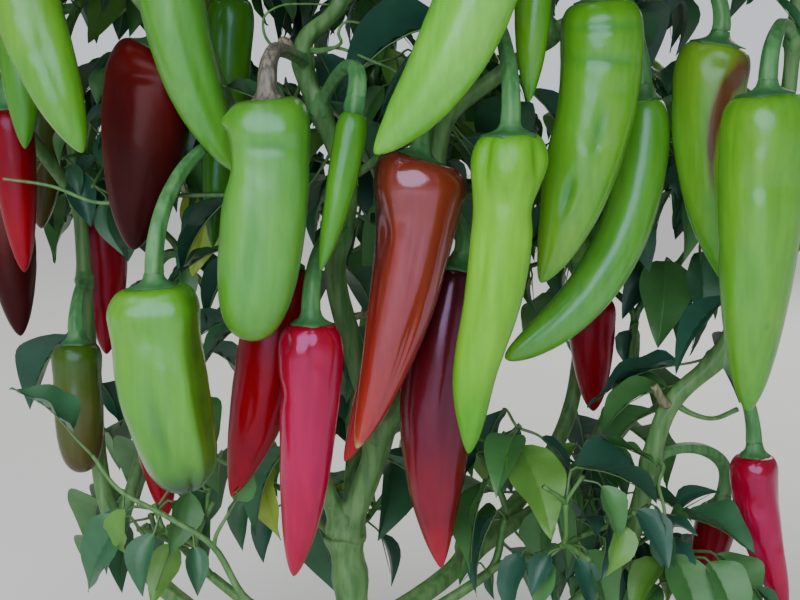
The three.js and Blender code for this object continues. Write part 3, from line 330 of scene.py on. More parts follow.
# Each mass of leaves: the limb whose tip it grows from, or a place on the main stem, its centre, how far
# it reaches from there, its seed, and how many peppers hang inside it.
MASS_TABLE = [
    ("crown_top", "bough_centre", (28, 22, 626), (114, 112, 100), 3),
    ("crown_front", "branch_front", (18, -152, 572), (108, 96, 88), 7),
    ("crown_front_left", "branch_front_left", (-156, -142, 566), (108, 96, 88), 11),
    ("crown_upper_left", "bough_left", (-112, -20, 594), (104, 96, 96), 13),
    ("crown_front_right", "bough_right", (156, -126, 576), (108, 96, 90), 17),
    ("crown_right", "bough_far_right", (236, 6, 554), (100, 104, 98), 19, 1),
    ("crown_left", "branch_left", (-230, 4, 520), (94, 104, 98), 23, 1),
    ("crown_back_left", "bough_back_left", (-158, 146, 520), (108, 102, 104), 29, 1),
    ("crown_back", "bough_back", (16, 190, 516), (108, 98, 106), 31, 1),
    ("crown_back_right", "bough_back_right", (176, 156, 522), (106, 102, 104), 37, 1),
    ("middle_left", "branch_mid_left", (-124, 150, 358), (112, 98, 104), 41, 1),
    ("middle_back", "branch_mid_back", (38, 150, 352), (104, 94, 102), 43),
    ("middle_right", "branch_mid_right", (182, 116, 334), (102, 94, 98), 47),
    ("low_right", (0, 0, 100), (116, 0, 176), (78, 60, 68), 53),
    ("low_far_right", (0, 0, 30), (196, 36, 120), (84, 66, 84), 59),
    ("low_left", (0, 0, 86), (-126, 20, 172), (54, 52, 62), 61),
    ("low_back", (0, 0, 74), (-20, 132, 166), (96, 86, 88), 67),
]


def unit(vector):
    return vector / np.linalg.norm(vector)


def within(limits, share):
    """A number between limits, which are the least and how much more there may be."""
    least, more = limits
    return least + more * share


def chance(seed, fork, draw):
    """A number from 0 to 1 that depends only on the mass, the fork and which draw it is."""
    mask = 0xFFFFFFFF
    a = (seed * 0x9E3779B1 + fork * 0x85EBCA6B + draw * 0xC2B2AE35) & mask
    a = ((a ^ (a >> 15)) * (a | 1)) & mask
    a ^= (a + (a ^ (a >> 7)) * (a | 61)) & mask
    return (a ^ (a >> 14)) / 4294967296


def turned(vector, axis, angle):
    """A vector turned about an axis."""
    axis = unit(axis)
    return (vector * math.cos(angle) + np.cross(axis, vector) * math.sin(angle)
            + axis * np.dot(axis, vector) * (1 - math.cos(angle)))


# Curves


def smooth_curve(places, shares):
    """Points on the even curve through some places, at shares of its course."""
    places = np.array(places, float)
    last = len(places) - 1
    padded = np.vstack([2 * places[0] - places[1], places, 2 * places[-1] - places[-2]])
    at = np.asarray(shares) * last
    i = np.minimum(at.astype(int), last - 1)
    t = (at - i)[:, None]
    before, start, end, after = (padded[i + k] for k in range(4))
    leave, arrive = 0.5 * (end - before), 0.5 * (after - start)
    return (start + leave * t + (3 * (end - start) - 2 * leave - arrive) * t ** 2
            + (2 * (start - end) + leave + arrive) * t ** 3)


def bezier(points, shares):
    """Points on the Bezier curve of two, three or four points."""
    t = np.asarray(shares, float)[:, None]
    points = [np.asarray(p, float)[None, :] for p in points]
    while len(points) > 1:
        points = [a * (1 - t) + b * t for a, b in zip(points, points[1:])]
    return points[0]


def path_length(points):
    return np.linalg.norm(np.diff(points, axis=0), axis=1).sum()


def framed(points, first=None):
    """The direction of a path at each point, and two axes square to it."""
    points = np.asarray(points, float)
    along = np.empty_like(points)
    along[1:-1] = points[2:] - points[:-2]
    along[0] = points[1] - points[0]
    along[-1] = points[-1] - points[-2]
    if first is not None:
        along[0] = first
    along /= np.linalg.norm(along, axis=1)[:, None]
    side = np.empty_like(points)
    previous = np.array([1.0, 0.0, 0.0])
    for i, direction in enumerate(along):
        previous = unit(previous - direction * np.dot(previous, direction))
        side[i] = previous
    return along, side, np.cross(along, side)


# The plant's rule, the same as the solids'


class Path:
    """A limb, stalk or twig: points along it, and its radius at each."""

    def __init__(self, points, radii):
        self.points = np.asarray(points, float)
        self.radii = np.asarray(radii, float)

    def capsules(self):
        return [(a, b, max(r, s)) for a, b, r, s in
                zip(self.points, self.points[1:], self.radii, self.radii[1:])]


def limb_path(name, steps=None):
    """A limb's path, in the solids' own steps or in finer ones."""
    (first, last), places = LIMBS[name]
    if steps is None:
        steps = max(4, round(path_length(smooth_curve(places, np.linspace(0, 1, 201))) / LIMB_STEP))
    shares = np.linspace(0, 1, steps + 1)
    points = smooth_curve(places, shares)
    radii = first + (last - first) * shares
    if places[0][2] == 0:
        radii = radii + FOOT_FLARE * np.exp(-points[:, 2] / FLARE_HEIGHT)
    return Path(points, radii)


class Capsules:
    """Many short straight pieces, each with a radius, that distances are measured to."""

    def __init__(self, pieces):
        self.a = np.array([p[0] for p in pieces], float).reshape(-1, 3)
        self.b = np.array([p[1] for p in pieces], float).reshape(-1, 3)
        self.radius = np.array([p[2] for p in pieces], float)

    def gaps(self, points):
        """The clear distance from each point to each piece."""
        points = np.asarray(points, float)
        run = self.b - self.a
        length = np.maximum((run ** 2).sum(1), 1e-9)
        share = np.clip((((points[:, None] - self.a) * run).sum(2)) / length, 0, 1)
        nearest = self.a + share[..., None] * run
        return np.linalg.norm(points[:, None] - nearest, axis=2) - self.radius

    def clear(self, points, clearance):
        return not len(self.radius) or bool((self.gaps(points) > clearance).all())


def profile(share, shape, rounded=False):
    """A pepper's radius along its body, from 0 at the calyx to 1 at the tip."""
    taper, belly, waist, collar, end, roundness = SHAPES[shape]
    share = np.asarray(share, float)
    shoulder = np.minimum(1, 0.62 + 0.38 * np.sqrt(np.maximum(share, 0) / 0.07))
    if rounded:
        short = np.clip(1 - share / 0.12, 0, 1)
        shoulder = 0.56 + 0.44 * (1 - short ** 2.2) ** 0.5
    fullness = np.sin(math.pi * np.minimum(1, 0.18 + 0.72 * share))
    middle = (1 - taper * share) * (1 - belly + belly * fullness)
    pinch = 1 - waist * np.exp(-(((share - 0.24) / 0.11) ** 2))
    below = 1 - collar * (1 - np.exp(-((share / 0.16) ** 2)))
    closing = np.maximum(1 - np.minimum(share, 1) ** end, 0) ** (1 / roundness)
    return shoulder * middle * pinch * below * closing


class Pepper:
    """A pepper on its stalk."""

    def __init__(self, name, root, calyx, tip, width, shape, look, bow=(0, 0, 0), hook=(0, 0, 0),
                 lobes=(3, 0.02), square=(0, 90), dents=(), stains_and_shade=(), shoulder=0.8, tilt=(0, 0), cork=0.2,
                 rim=0.6, sway=(0, 0), arch=STALK_ARCH):
        self.name, self.shape, self.look = name, shape, look
        self.lobes, self.square, self.dents, self.stains_and_shade = lobes, square, dents, stains_and_shade
        self.shoulder, self.tilt, self.cork, self.rim, self.sway = shoulder, tilt, cork, rim, sway
        self.radius = width / 2
        calyx, tip = np.array(calyx, float), np.array(tip, float)
        middle = (calyx + tip) / 2 + np.array(bow, float)
        self.body = [calyx, 2 * middle - 0.5 * calyx - 0.5 * tip, tip]
        self.hanging = -unit(self.body[1] - calyx)
        reach = np.linalg.norm(root - calyx)
        self.stalk = [
            root,
            root + STALK_BEND * (calyx - root) + UP * arch * reach,
            calyx + self.hanging * max(LEAST_STALK_DROP, STALK_DROP_SHARE * reach) + np.array(hook, float),
            calyx + self.hanging * CALYX_NECK,
        ]
        self.neck = min(1, 0.8 * self.radius / STALK_CALYX_RADIUS)

    def stalk_path(self, steps):
        shares = np.linspace(0, 1, steps + 1)
        radii = STALK_LIMB_RADIUS + (STALK_CALYX_RADIUS - STALK_LIMB_RADIUS) * shares ** 2
        return Path(bezier(self.stalk, shares), radii * self.neck)

    def body_capsules(self):
        shares = np.array(SOLID_BODY_SHARES)
        radii = self.radius * profile(np.minimum(shares, SOLID_BODY_SHARES[-2]), self.shape)
        return Path(bezier(self.body, shares), radii).capsules()


def stalk_root(limb, calyx, rise):
    """Where a stalk leaves its limb: the nearest point to a place above the calyx, short of its end."""
    above = np.array(calyx, float) + UP * rise
    a, b = limb.points[:-2], limb.points[1:-1]
    run = b - a
    share = np.clip(((above - a) * run).sum(1) / (run ** 2).sum(1), 0, 1)
    near = a + share[:, None] * run
    return near[np.linalg.norm(near - above, axis=1).argmin()]


class Mass:
    """A mass of leaves, with what grows in it."""

    def __init__(self, name, foot, centre, reach, seed, hung=0):
        self.name, self.foot, self.seed, self.hung = name, foot, seed, hung
        self.low = foot not in LIMBS
        self.centre, self.reach = np.array(centre, float), np.array(reach, float)
        self.mean_reach = sum(reach) / 3
        self.full = FULLNESS.get(name, 1.0)


def in_space(points, mass, margin):
    """Whether points lie in a mass's own space, at least margin inside it."""
    points = np.asarray(points, float)
    off = points - mass.centre
    if (np.linalg.norm(off / mass.reach, axis=1) > 1).any() or (points[:, 2] < margin).any():
        return False
    for other in MASSES:
        if other is mass:
            continue
        apart = other.centre - mass.centre
        distance = np.linalg.norm(apart)
        share = mass.mean_reach / (mass.mean_reach + other.mean_reach)
        if (off @ apart / distance >= distance * share - margin).any():
            return False
    return True


def in_box(points):
    return bool((np.array(points) > BOX_LOW).all() and (np.array(points) < BOX_HIGH).all())


def mass_stem(mass, steps=2):
    """The stem that carries a mass towards its centre."""
    start = np.array(mass.foot if mass.low else limbs[mass.foot].points[-1], float)
    end = start + (mass.centre - start) * (LOW_STEM_SHARE if mass.low else STEM_SHARE)
    if mass.low:
        end[2] -= LOW_STEM_DROP * mass.reach[2]
    middle = (start + end) / 2 + UP * (LOW_STEM_SAG if mass.low else STEM_SAG)
    points = bezier([start, middle, end], np.linspace(0, 1, steps + 1))
    return Path(points, [TWIG_RADII[0]] * (steps + 1))


class Fork:
    """The end of a twig, where the next ones and leaves grow."""

    def __init__(self, mass, number, level, at, heading, roll, parent=None):
        self.mass, self.number, self.level, self.at = mass, number, level, at
        self.heading, self.roll, self.parent = heading, roll, parent
        self.leaves = 0

    def chance(self, draw):
        return chance(self.mass.seed, self.number, draw)


def twig_from(parent, number, attempt):
    """One twig of a fork, to its own fork. Each later try turns it, closes it in and shortens it."""
    mass = parent.mass
    wide, long, turn = (chance(mass.seed, number, draw) for draw in (1, 2, 3))
    sign = -1 if number % 2 == 0 else 1
    hinge = unit(np.cross([1.0, 0, 0], parent.heading))
    hinge = turned(hinge, parent.heading, parent.roll + TWIG_TRY_TURN * attempt)
    spread = TWIG_SPREAD * within(TWIG_SPREADS, wide) * (1 - TWIG_TRY_CLOSE * attempt)
    heading = unit(turned(parent.heading, hinge, sign * spread) + UP * TWIG_RISE)
    level = parent.level + 1
    vigour = min(1, mass.mean_reach / FULL_REACH) * (1 - TWIG_TRY_SHRINK * attempt)
    length = TWIG_LENGTHS[level] * vigour * within(TWIG_STRETCHES, long)
    roll = parent.roll + math.pi / 2 + TWIG_ROLL * (turn - 0.5)
    return Fork(mass, number, level, parent.at + heading * length, heading, roll, parent)


def twig_capsules(forks):
    return [(f.parent.at, f.at, TWIG_RADII[f.level]) for f in forks if f.parent]


def grow_twigs(forks, levels, near, thicket=None):
    """Adds the twigs that branch from some forks, by two, where they fit in the mass's space."""
    obstacles = Capsules(near)
    for parent in forks:
        if not levels[0] <= parent.level < levels[1]:
            continue
        radius = TWIG_RADII[parent.level + 1]
        room = TWIG_CLEARANCE + radius
        strangers = Capsules(twig_capsules([f for f in forks if f.parent is not parent and f is not parent]))
        for number in (2 * parent.number, 2 * parent.number + 1):
            for attempt in range(TWIG_TRIES):
                twig = twig_from(parent, number, attempt)
                spots = [twig.at + (parent.at - twig.at) * back for back in TWIG_SPOTS]
                if not (in_space(spots, parent.mass, TWIG_INSET) and obstacles.clear(spots, room)
                        and strangers.clear(spots, room)):
                    continue
                if thicket and not (in_box(spots) and thicket.room_for(spots[0], spots[2], radius)):
                    continue
                forks.append(twig)
                break


def hang_peppers(mass, near):
    """The peppers that hang inside a mass, from its first forks, where there is room for them."""
    made = []
    for fork in [f for f in mass.forks if f.level < 2]:
        if len(made) >= mass.hung:
            break
        outward = unit(fork.at - np.array([*CROWN_MIDDLE, fork.at[2]]))
        length = within(HUNG_LENGTHS, fork.chance(HUNG_LENGTH_DRAW))
        width = within(HUNG_WIDTHS, fork.chance(HUNG_WIDTH_DRAW))
        calyx = fork.at + outward * HUNG_OUT - UP * HUNG_DOWN
        tip = calyx - UP * length + outward * HUNG_LEAN
        look = HUNG_LOOKS[mass.seed % len(HUNG_LOOKS)]
        pepper = Pepper(mass.name + "_pepper", fork.at, calyx, tip, width, "horn", look)
        spots = [piece[0] for piece in pepper.body_capsules()] + [calyx, tip]
        close = Capsules(near + twig_capsules(mass.forks) + [p for m in made for p in m.body_capsules()])
        if tip[2] > LOWEST_TIP and close.clear(spots, pepper.radius + FRUIT_CLEARANCE):
            made.append(pepper)
    return made


def node_rings(mass):
    """Gives each node of the twigs two rings of three points, one side turned to its second twig."""
    by_number = {fork.number: fork for fork in mass.forks}
    for fork in mass.forks:
        before = fork.parent.at if fork.parent else mass.stem.points[-2]
        first, second = by_number.get(2 * fork.number), by_number.get(2 * fork.number + 1)
        along = unit(fork.at - before)
        if first:
            along = unit(along + unit(first.at - fork.at))
        towards = second.at - fork.at if second else np.cross(fork.at - before, UP)
        side = unit(towards - along * np.dot(towards, along))
        other = np.cross(along, side)
        radius = TWIG_RADII[fork.level]
        fork.rings = [[fork.at + along * offset + side * radius * math.cos(third * math.pi / 3)
                       + other * radius * math.sin(third * math.pi / 3) for third in (-1, 1, 3)]
                      for offset in (-NODE_HALF, NODE_HALF)]
        fork.taken = ([3] if first else []) + ([0] if second else [])


def sockets_of(fork):
    """The faces of a node that leaves grow from: three round its sides, and one at its end."""
    before, after = fork.rings
    return [[before[i], before[(i + 1) % 3], after[(i + 1) % 3]] for i in range(3)] + [after]


class Leaf:
    """One leaf: its root, its stalk's and blade's directions, and its size."""

    def __init__(self, fork, socket, draw, attempt, scale=1.0):
        self.fork, self.draw = fork, draw
        a, b, c = socket
        normal = unit(np.cross(c - b, a - b))
        self.root = (a + b + c) / 3
        outward = unit(fork.at - fork.mass.centre)
        turn = TURN * fork.chance(draw) + LEAF_TRY_TURN * attempt
        edge = turned(unit(b - a), normal, turn)
        self.stalk = unit(normal + edge * 0.5 + outward * 0.35 + UP * 0.1)
        droop = within(LEAF_DROOPS, fork.chance(draw + 1)) + LEAF_TRY_DROOP * attempt
        self.blade = unit(self.stalk + outward * 0.3 - UP * droop)
        across = unit(np.cross(self.blade, UP + outward * 0.5))
        self.across = turned(across, self.blade, LEAF_ROLL * (fork.chance(draw + 2) - 0.5))
        self.under = np.cross(self.across, self.blade)
        if self.under[2] > 0:
            self.across, self.under = -self.across, -self.under
        size = within(LEAF_SIZES, fork.chance(draw + 3)) * (1 - LEAF_TRY_SHRINK * attempt)
        self.length = LEAF_LENGTH * size * scale
        self.lay()

    def lay(self):
        """The corners of the blade, from the leaf's root, its directions and its length."""
        self.neck = self.root + self.stalk * LEAF_STALK_SHARE * self.length
        self.widest = self.neck + self.blade * (LEAF_WIDEST_SHARE - LEAF_STALK_SHARE) * self.length
        self.tip = (self.neck + self.blade * (1 - LEAF_STALK_SHARE) * self.length
                    - UP * LEAF_SAG_SHARE * self.length)
        half = self.across * LEAF_HALF_WIDTH_SHARE * self.length
        self.left, self.right = self.widest - half, self.widest + half

    def samples(self):
        neck, widest, tip, left, right = self.neck, self.widest, self.tip, self.left, self.right
        return np.array([
            neck, widest, tip, left, right, neck + (left - neck) * 0.6, neck + (right - neck) * 0.6,
            (widest + left) / 2, (widest + right) / 2, (neck + widest) / 2, (tip + left) / 2,
            (tip + right) / 2, (tip + widest) / 2,
        ])

    def fits(self, obstacles, clearance):
        spots = self.samples()
        return (np.dot(self.stalk, self.blade) > LEAF_SHARPEST
                and in_space(spots, self.fork.mass, LEAF_INSET) and obstacles.clear(spots, clearance))

    def tree(self):
        """The leaf's blade and the outer part of its stalk, as a few triangles to test against."""
        knee = self.root + (self.neck - self.root) * 0.4
        wide = self.across * 0.8
        points = [knee - wide, knee + wide, self.neck - wide, self.neck + wide, self.left, self.right,
                  self.tip]
        return BVHTree.FromPolygons([Vector(p) for p in points],
                                    [(0, 1, 3), (0, 3, 2), (2, 5, 4), (2, 3, 5), (4, 5, 6)])


class PlacedLeaf(Leaf):
    """A leaf of a bare shoot, from its root to its tip, with its upper side facing some way."""

    def __init__(self, number, root, tip, facing):
        root, tip = np.array(root, float), np.array(tip, float)
        self.fork, self.draw = Fork(MASSES[0], number, 0, root, UP, 0), 0
        self.root, self.length = root, np.linalg.norm(tip - root)
        self.stalk = self.blade = unit(tip - root)
        self.under = -np.array(facing, float)
        self.across = unit(np.cross(self.blade, self.under))
        self.under = np.cross(self.across, self.blade)
        self.lay()


class Thicket:
    """The leaves and twigs placed so far, that a new leaf must not cross."""

    def __init__(self, most=9000):
        self.middles, self.trees = np.empty((most, 3)), []

    def add(self, middle, tree):
        self.middles[len(self.trees)] = middle
        self.trees.append(tree)

    def add_twigs(self, pieces):
        for a, b, radius in pieces:
            self.add((a + b) / 2, prism_tree([(a, b, radius * 0.6)]))

    def crosses(self, middle, tree, within=110):
        near = np.linalg.norm(self.middles[:len(self.trees)] - middle, axis=1) < within
        return any(tree.overlap(self.trees[i]) for i in np.flatnonzero(near))

    def room_for(self, a, b, radius):
        return not self.crosses((a + b) / 2, prism_tree([(a, b, radius)]))

    def takes(self, leaf):
        """Adds a leaf, if it crosses nothing that is there."""
        tree = leaf.tree()
        if self.crosses(leaf.widest, tree):
            return False
        self.add(leaf.widest, tree)
        return True


def prism_tree(pieces):
    """Three-sided rods for testing against."""
    points, faces = [], []
    for a, b, radius in pieces:
        along, side, other = (axis[0] for axis in framed([a, b]))
        base = len(points)
        for end in (a, b):
            for third in range(3):
                angle = third * TURN / 3
                points.append(Vector(end + radius * (side * math.cos(angle) + other * math.sin(angle))))
        for i in range(3):
            j = (i + 1) % 3
            faces.append((base + i, base + j, base + 3 + j, base + 3 + i))
    return BVHTree.FromPolygons(points, faces)


def grow_leaves(forks, near, count_at, sizes=(1.0, 0.0), clearance=LEAF_CLEARANCE):
    """The leaves at some forks: each is the first try that keeps to its space and clear of all near it."""
    leaves, obstacles = [], Capsules(near)
    for fork in forks:
        sockets = sockets_of(fork)
        free = [i for i in range(4) if i not in fork.taken]
        for index in range(count_at(fork)):
            draw = FIRST_LEAF_DRAW + DRAWS_PER_LEAF * (index + fork.leaves)
            size = within(sizes, fork.chance(draw + DRAWS_PER_LEAF - 1))
            for attempt in range(LEAF_TRIES if free else 0):
                place = free[(len(free) - 1 + attempt) % len(free)]
                leaf = Leaf(fork, sockets[place], draw, attempt, size)
                if leaf.fits(obstacles, clearance) and thicket.takes(leaf):
                    leaves.append(leaf)
                    free.remove(place)
                    break
    return leaves


def leaves_at(fork):
    return LEAVES_AT_FORK if 3 in fork.taken else LEAVES_AT_END


def young_leaves_at(fork):
    return DENSE.get(fork.mass.name, YOUNG_LEAVES)


def near_pieces(pieces, mass):
    """The capsules that come near a mass's space."""
    reach = max(mass.reach) + MASS_SPARE
    return [p for p in pieces if min(np.linalg.norm(end - mass.centre) for end in p[:2]) < reach]


MASSES = [Mass(*row) for row in MASS_TABLE]
limbs = {name: limb_path(name) for name in LIMBS}
obstacles = [piece for limb in limbs.values() for piece in limb.capsules()]
peppers = []
for name, (on, calyx, tip, width, shape, look, more) in FRUITS.items():
    root = stalk_root(limbs[on], calyx, STALK_RISES.get(name, STALK_RISE))
    pepper = Pepper(name, root, calyx, tip, width, shape, look, **more)
    peppers.append(pepper)
    obstacles += pepper.body_capsules() + pepper.stalk_path(6).capsules()

for mass in MASSES:
    mass.stem = mass_stem(mass)
placed = []
for mass in MASSES:
    mass.near = obstacles + [p for m in MASSES if m is not mass for p in m.stem.capsules()]
    start = mass.stem.points[-1]
    heading = unit(mass.centre - start)
    heading = unit(heading + (UP - heading) * 0.15)
    mass.forks = [Fork(mass, 1, 0, start, heading, TURN * chance(mass.seed, 1, 0))]
    grow_twigs(mass.forks, (0, SOLID_LEVELS), mass.near + placed)
    mass.peppers = hang_peppers(mass, mass.near + placed)
    placed += twig_capsules(mass.forks) + [p for pepper in mass.peppers for p in pepper.body_capsules()]

hung_peppers = [pepper for mass in MASSES for pepper in mass.peppers]
hung_capsules = [p for pepper in hung_peppers
                 for p in pepper.body_capsules() + pepper.stalk_path(4).capsules()]
thicket = Thicket()
solid_leaves, fine_leaves = [], []
for mass in MASSES:
    mass.near = near_pieces(mass.near + hung_capsules, mass)
    node_rings(mass)
    own = [(a, b, radius * 0.6) for a, b, radius in twig_capsules(mass.forks) + mass.stem.capsules()]
    thicket.add(mass.centre, prism_tree(own))
    solid_leaves += grow_leaves(mass.forks, mass.near, leaves_at)
for mass in MASSES:
    count = len(mass.forks)
    thicket.add_twigs(twig_capsules(mass.forks))
    last_level = SOLID_LEVELS + round((FINE_LEVELS - SOLID_LEVELS) * mass.full)
    grow_twigs(mass.forks, (SOLID_LEVELS, last_level), mass.near, thicket)
    thicket.add_twigs(twig_capsules(mass.forks[count:]))
    node_rings(mass)
    fine_leaves += grow_leaves(mass.forks[count:], mass.near, leaves_at, FINE_SIZES, FINE_LEAF_CLEARANCE)
for mass in MASSES:
    bearing = [fork for fork in mass.forks if fork.chance(LEAFY_DRAW) < mass.full]
    for fork in bearing:
        fork.leaves = LEAVES_AT_END
    fine_leaves += grow_leaves(bearing, mass.near, young_leaves_at, YOUNG_SIZES, YOUNG_LEAF_CLEARANCE)


# Skins


def placed_object(name, data):
    """A new object in the scene."""
    thing = bpy.data.objects.new(name, data)
    bpy.context.scene.collection.objects.link(thing)
    return thing


def ring_faces(rings, sides):
    """The faces of a tube's skin through rings of points, and its ends."""
    faces = []
    for i in range(rings - 1):
        for j in range(sides):
            a, b = i * sides + j, i * sides + (j + 1) % sides
            faces.append([a, b, b + sides, a + sides])
    return faces + [list(range(sides - 1, -1, -1)), list(range((rings - 1) * sides, rings * sides))]


class Skin:
    """Points and faces of a piece being made, with each face's material and each point's tone, and its stain
    and painted shade.
    """

    def __init__(self):
        self.points, self.tones, self.stains_and_shade, self.faces, self.slots = [], [], [], [], []
        self.count = 0

    def add(self, points, faces, slot=0, tones=0.0, stains_and_shade=0.0):
        self.points.append(points)
        self.tones.append(np.broadcast_to(tones, len(points)))
        self.stains_and_shade.append(np.broadcast_to(stains_and_shade, len(points)))
        self.faces += [[self.count + i for i in face] for face in faces]
        self.slots += [slot] * len(faces)
        self.count += len(points)

    def add_rings(self, rings, slot=0, tones=0.0, stains_and_shade=0.0):
        """Adds a tube, whose tone, and whose stain and painted shade, are one number, or one for each ring
        or for each point.
        """
        count, sides = rings.shape[:2]
        spread = []
        for values in (tones, stains_and_shade):
            values = np.asarray(values, float)
            values = values[:, None] if values.ndim == 1 else values
            spread.append(np.broadcast_to(values, (count, sides)).reshape(-1))
        self.add(rings.reshape(-1, 3), ring_faces(count, sides), slot, *spread)

    def piece(self, name, materials, slot, *nodes):
        """Makes the piece, which stands for some CAD nodes. Its slot, a material slot of the record, is not
        used.
        """
        mesh = bpy.data.meshes.new(name)
        mesh.from_pydata((np.vstack(self.points) * MM).tolist(), [], self.faces)
        mesh.polygons.foreach_set("material_index", self.slots)
        mesh.polygons.foreach_set("use_smooth", [True] * len(self.faces))
        for kind, values in (("tone", self.tones), ("stain", self.stains_and_shade)):
            attribute = mesh.attributes.new(kind, "FLOAT", "POINT")
            attribute.data.foreach_set("value", np.concatenate(values).astype(np.float32))
        for material in materials:
            mesh.materials.append(material)
        piece = placed_object(name, mesh)
        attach(piece, "root")
        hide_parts(*nodes)


def wave(values, seed):
    """A smooth wandering number from -1 to 1 along some values."""
    return (np.sin(values + seed * 1.7) + 0.6 * np.sin(2.3 * values + seed * 2.9)
            + 0.4 * np.sin(4.1 * values + seed * 5.3)) / 2


def spokes(side, other, angle):
    """Directions all round each point of a path, at some angles."""
    return side[:, None] * np.cos(angle)[:, None] + other[:, None] * np.sin(angle)[:, None]


class Tube:
    """A stem, branch or stalk to be given a skin, with its path in fine steps."""

    def __init__(self, path, first=None, ribs=5, rib_depth=0.05, seed=0):
        self.path, self.ribs, self.rib_depth, self.seed = path, ribs, rib_depth, seed
        _, self.side, self.other = framed(path.points, first)
        steps = np.linalg.norm(np.diff(path.points, axis=0), axis=1)
        self.run = np.concatenate([[0], np.cumsum(steps)])
        self.swelling = np.zeros(len(self.run))

    def meets(self, tube):
        """Whether this tube starts on another, or beside its start."""
        start = self.path.points[0]
        gaps = np.linalg.norm(tube.path.points - start, axis=1)
        return (gaps < tube.path.radii + 3).any() or gaps[0] < 15

    def swell_at(self, place, amount, width):
        gaps = np.linalg.norm(self.path.points - place, axis=1)
        if gaps.min() < 6:
            at = self.run[gaps.argmin()]
            self.swelling += amount * np.exp(-((self.run - at) / width) ** 2)

    def rings(self, others, sides):
        """Rings of skin points, moved out where the tubes that join this one run into it."""
        angle = np.arange(sides) * TURN / sides
        out = spokes(self.side, self.other, angle)
        base = np.repeat((self.path.radii * (1 + self.swelling))[:, None], sides, axis=1)
        reach, joints = base, []
        for other in others:
            far = np.linalg.norm(self.path.points[:, None] - other.path.points[None], axis=2)
            near_rings = np.flatnonzero(far.min(1) < JOINT_REACH)
            near_points = np.flatnonzero(far.min(0) < JOINT_STRETCH)
            if len(near_rings) and len(near_points) > 1:
                part = slice(near_points.min(), near_points.max() + 1)
                stretch = Path(other.path.points[part], (other.path.radii * (1 + other.swelling))[part])
                joints.append((near_rings, Capsules(stretch.capsules())))
        for _ in range(BLEND_ROUNDS if joints else 0):
            total = np.exp(-(reach - base) / BLEND)
            for near_rings, capsules in joints:
                spots = self.path.points[near_rings, None] + out[near_rings] * reach[near_rings][..., None]
                gaps = capsules.gaps(spots.reshape(-1, 3)).min(1).reshape(len(near_rings), sides)
                total[near_rings] += np.exp(-np.maximum(gaps, -8) / BLEND)
            reach = np.clip(reach + BLEND * np.log(total), base, base + BLEND_MOST * BLEND)
        turn = RIB_TURN * self.run[:, None] + self.seed
        ribs = np.cos(self.ribs * (angle[None] + turn))
        streaks = np.cos(STREAKS * angle[None] + 3 * wave(self.run[:, None] * 0.05, self.seed))
        lumps = wave(self.run[:, None] * 0.11 + 2 * np.cos(angle[None] + self.seed), self.seed)
        reach = reach * (1 + self.rib_depth * ribs + STREAK_DEPTH * streaks + LUMP_DEPTH * lumps)
        return self.path.points[:, None] + out * reach[..., None]


def fine_steps(path):
    """How many stretches a stem's skin has."""
    return max(4, int(path_length(path.points) / SKIN_STEP))


tubes = {}
for i, name in enumerate(LIMBS):
    tubes[name] = Tube(limb_path(name, fine_steps(limbs[name])), UP if name == "main_stem" else None, seed=i)
for i, mass in enumerate(MASSES):
    path = mass_stem(mass, fine_steps(mass.stem))
    path.radii = np.linspace(3.3, TWIG_RADII[0] * 0.8, len(path.points))
    if mass.low:
        path.radii = path.radii + 0.8 * np.linspace(1, 0, len(path.points))
    tubes[mass.name] = Tube(path, seed=40 + i)
for i, pepper in enumerate(peppers):
    steps = max(8, int(path_length(bezier(pepper.stalk, np.linspace(0, 1, 30))) / 2))
    tubes[pepper.name] = Tube(pepper.stalk_path(steps), rib_depth=STALK_RIB_DEPTH, seed=80 + i)

for tube in tubes.values():
    for other in tubes.values():
        if other is not tube and other.meets(tube):
            tube.swell_at(other.path.points[0], KNUCKLE, KNUCKLE_WIDTH)
joined = {name: [other for other in tubes.values() if other is not tube
                 and (other.meets(tube) or tube.meets(other))] for name, tube in tubes.items()}


# Materials


def colour(red, green, blue):
    """A colour from its screen values, 0 to 255."""
    def linear(value):
        value /= 255
        return value / 12.92 if value <= 0.04045 else ((value + 0.055) / 1.055) ** 2.4
    return (linear(red), linear(green), linear(blue), 1)


def dimmed(tint, share):
    return tuple(share * value for value in tint[:3]) + (1,)


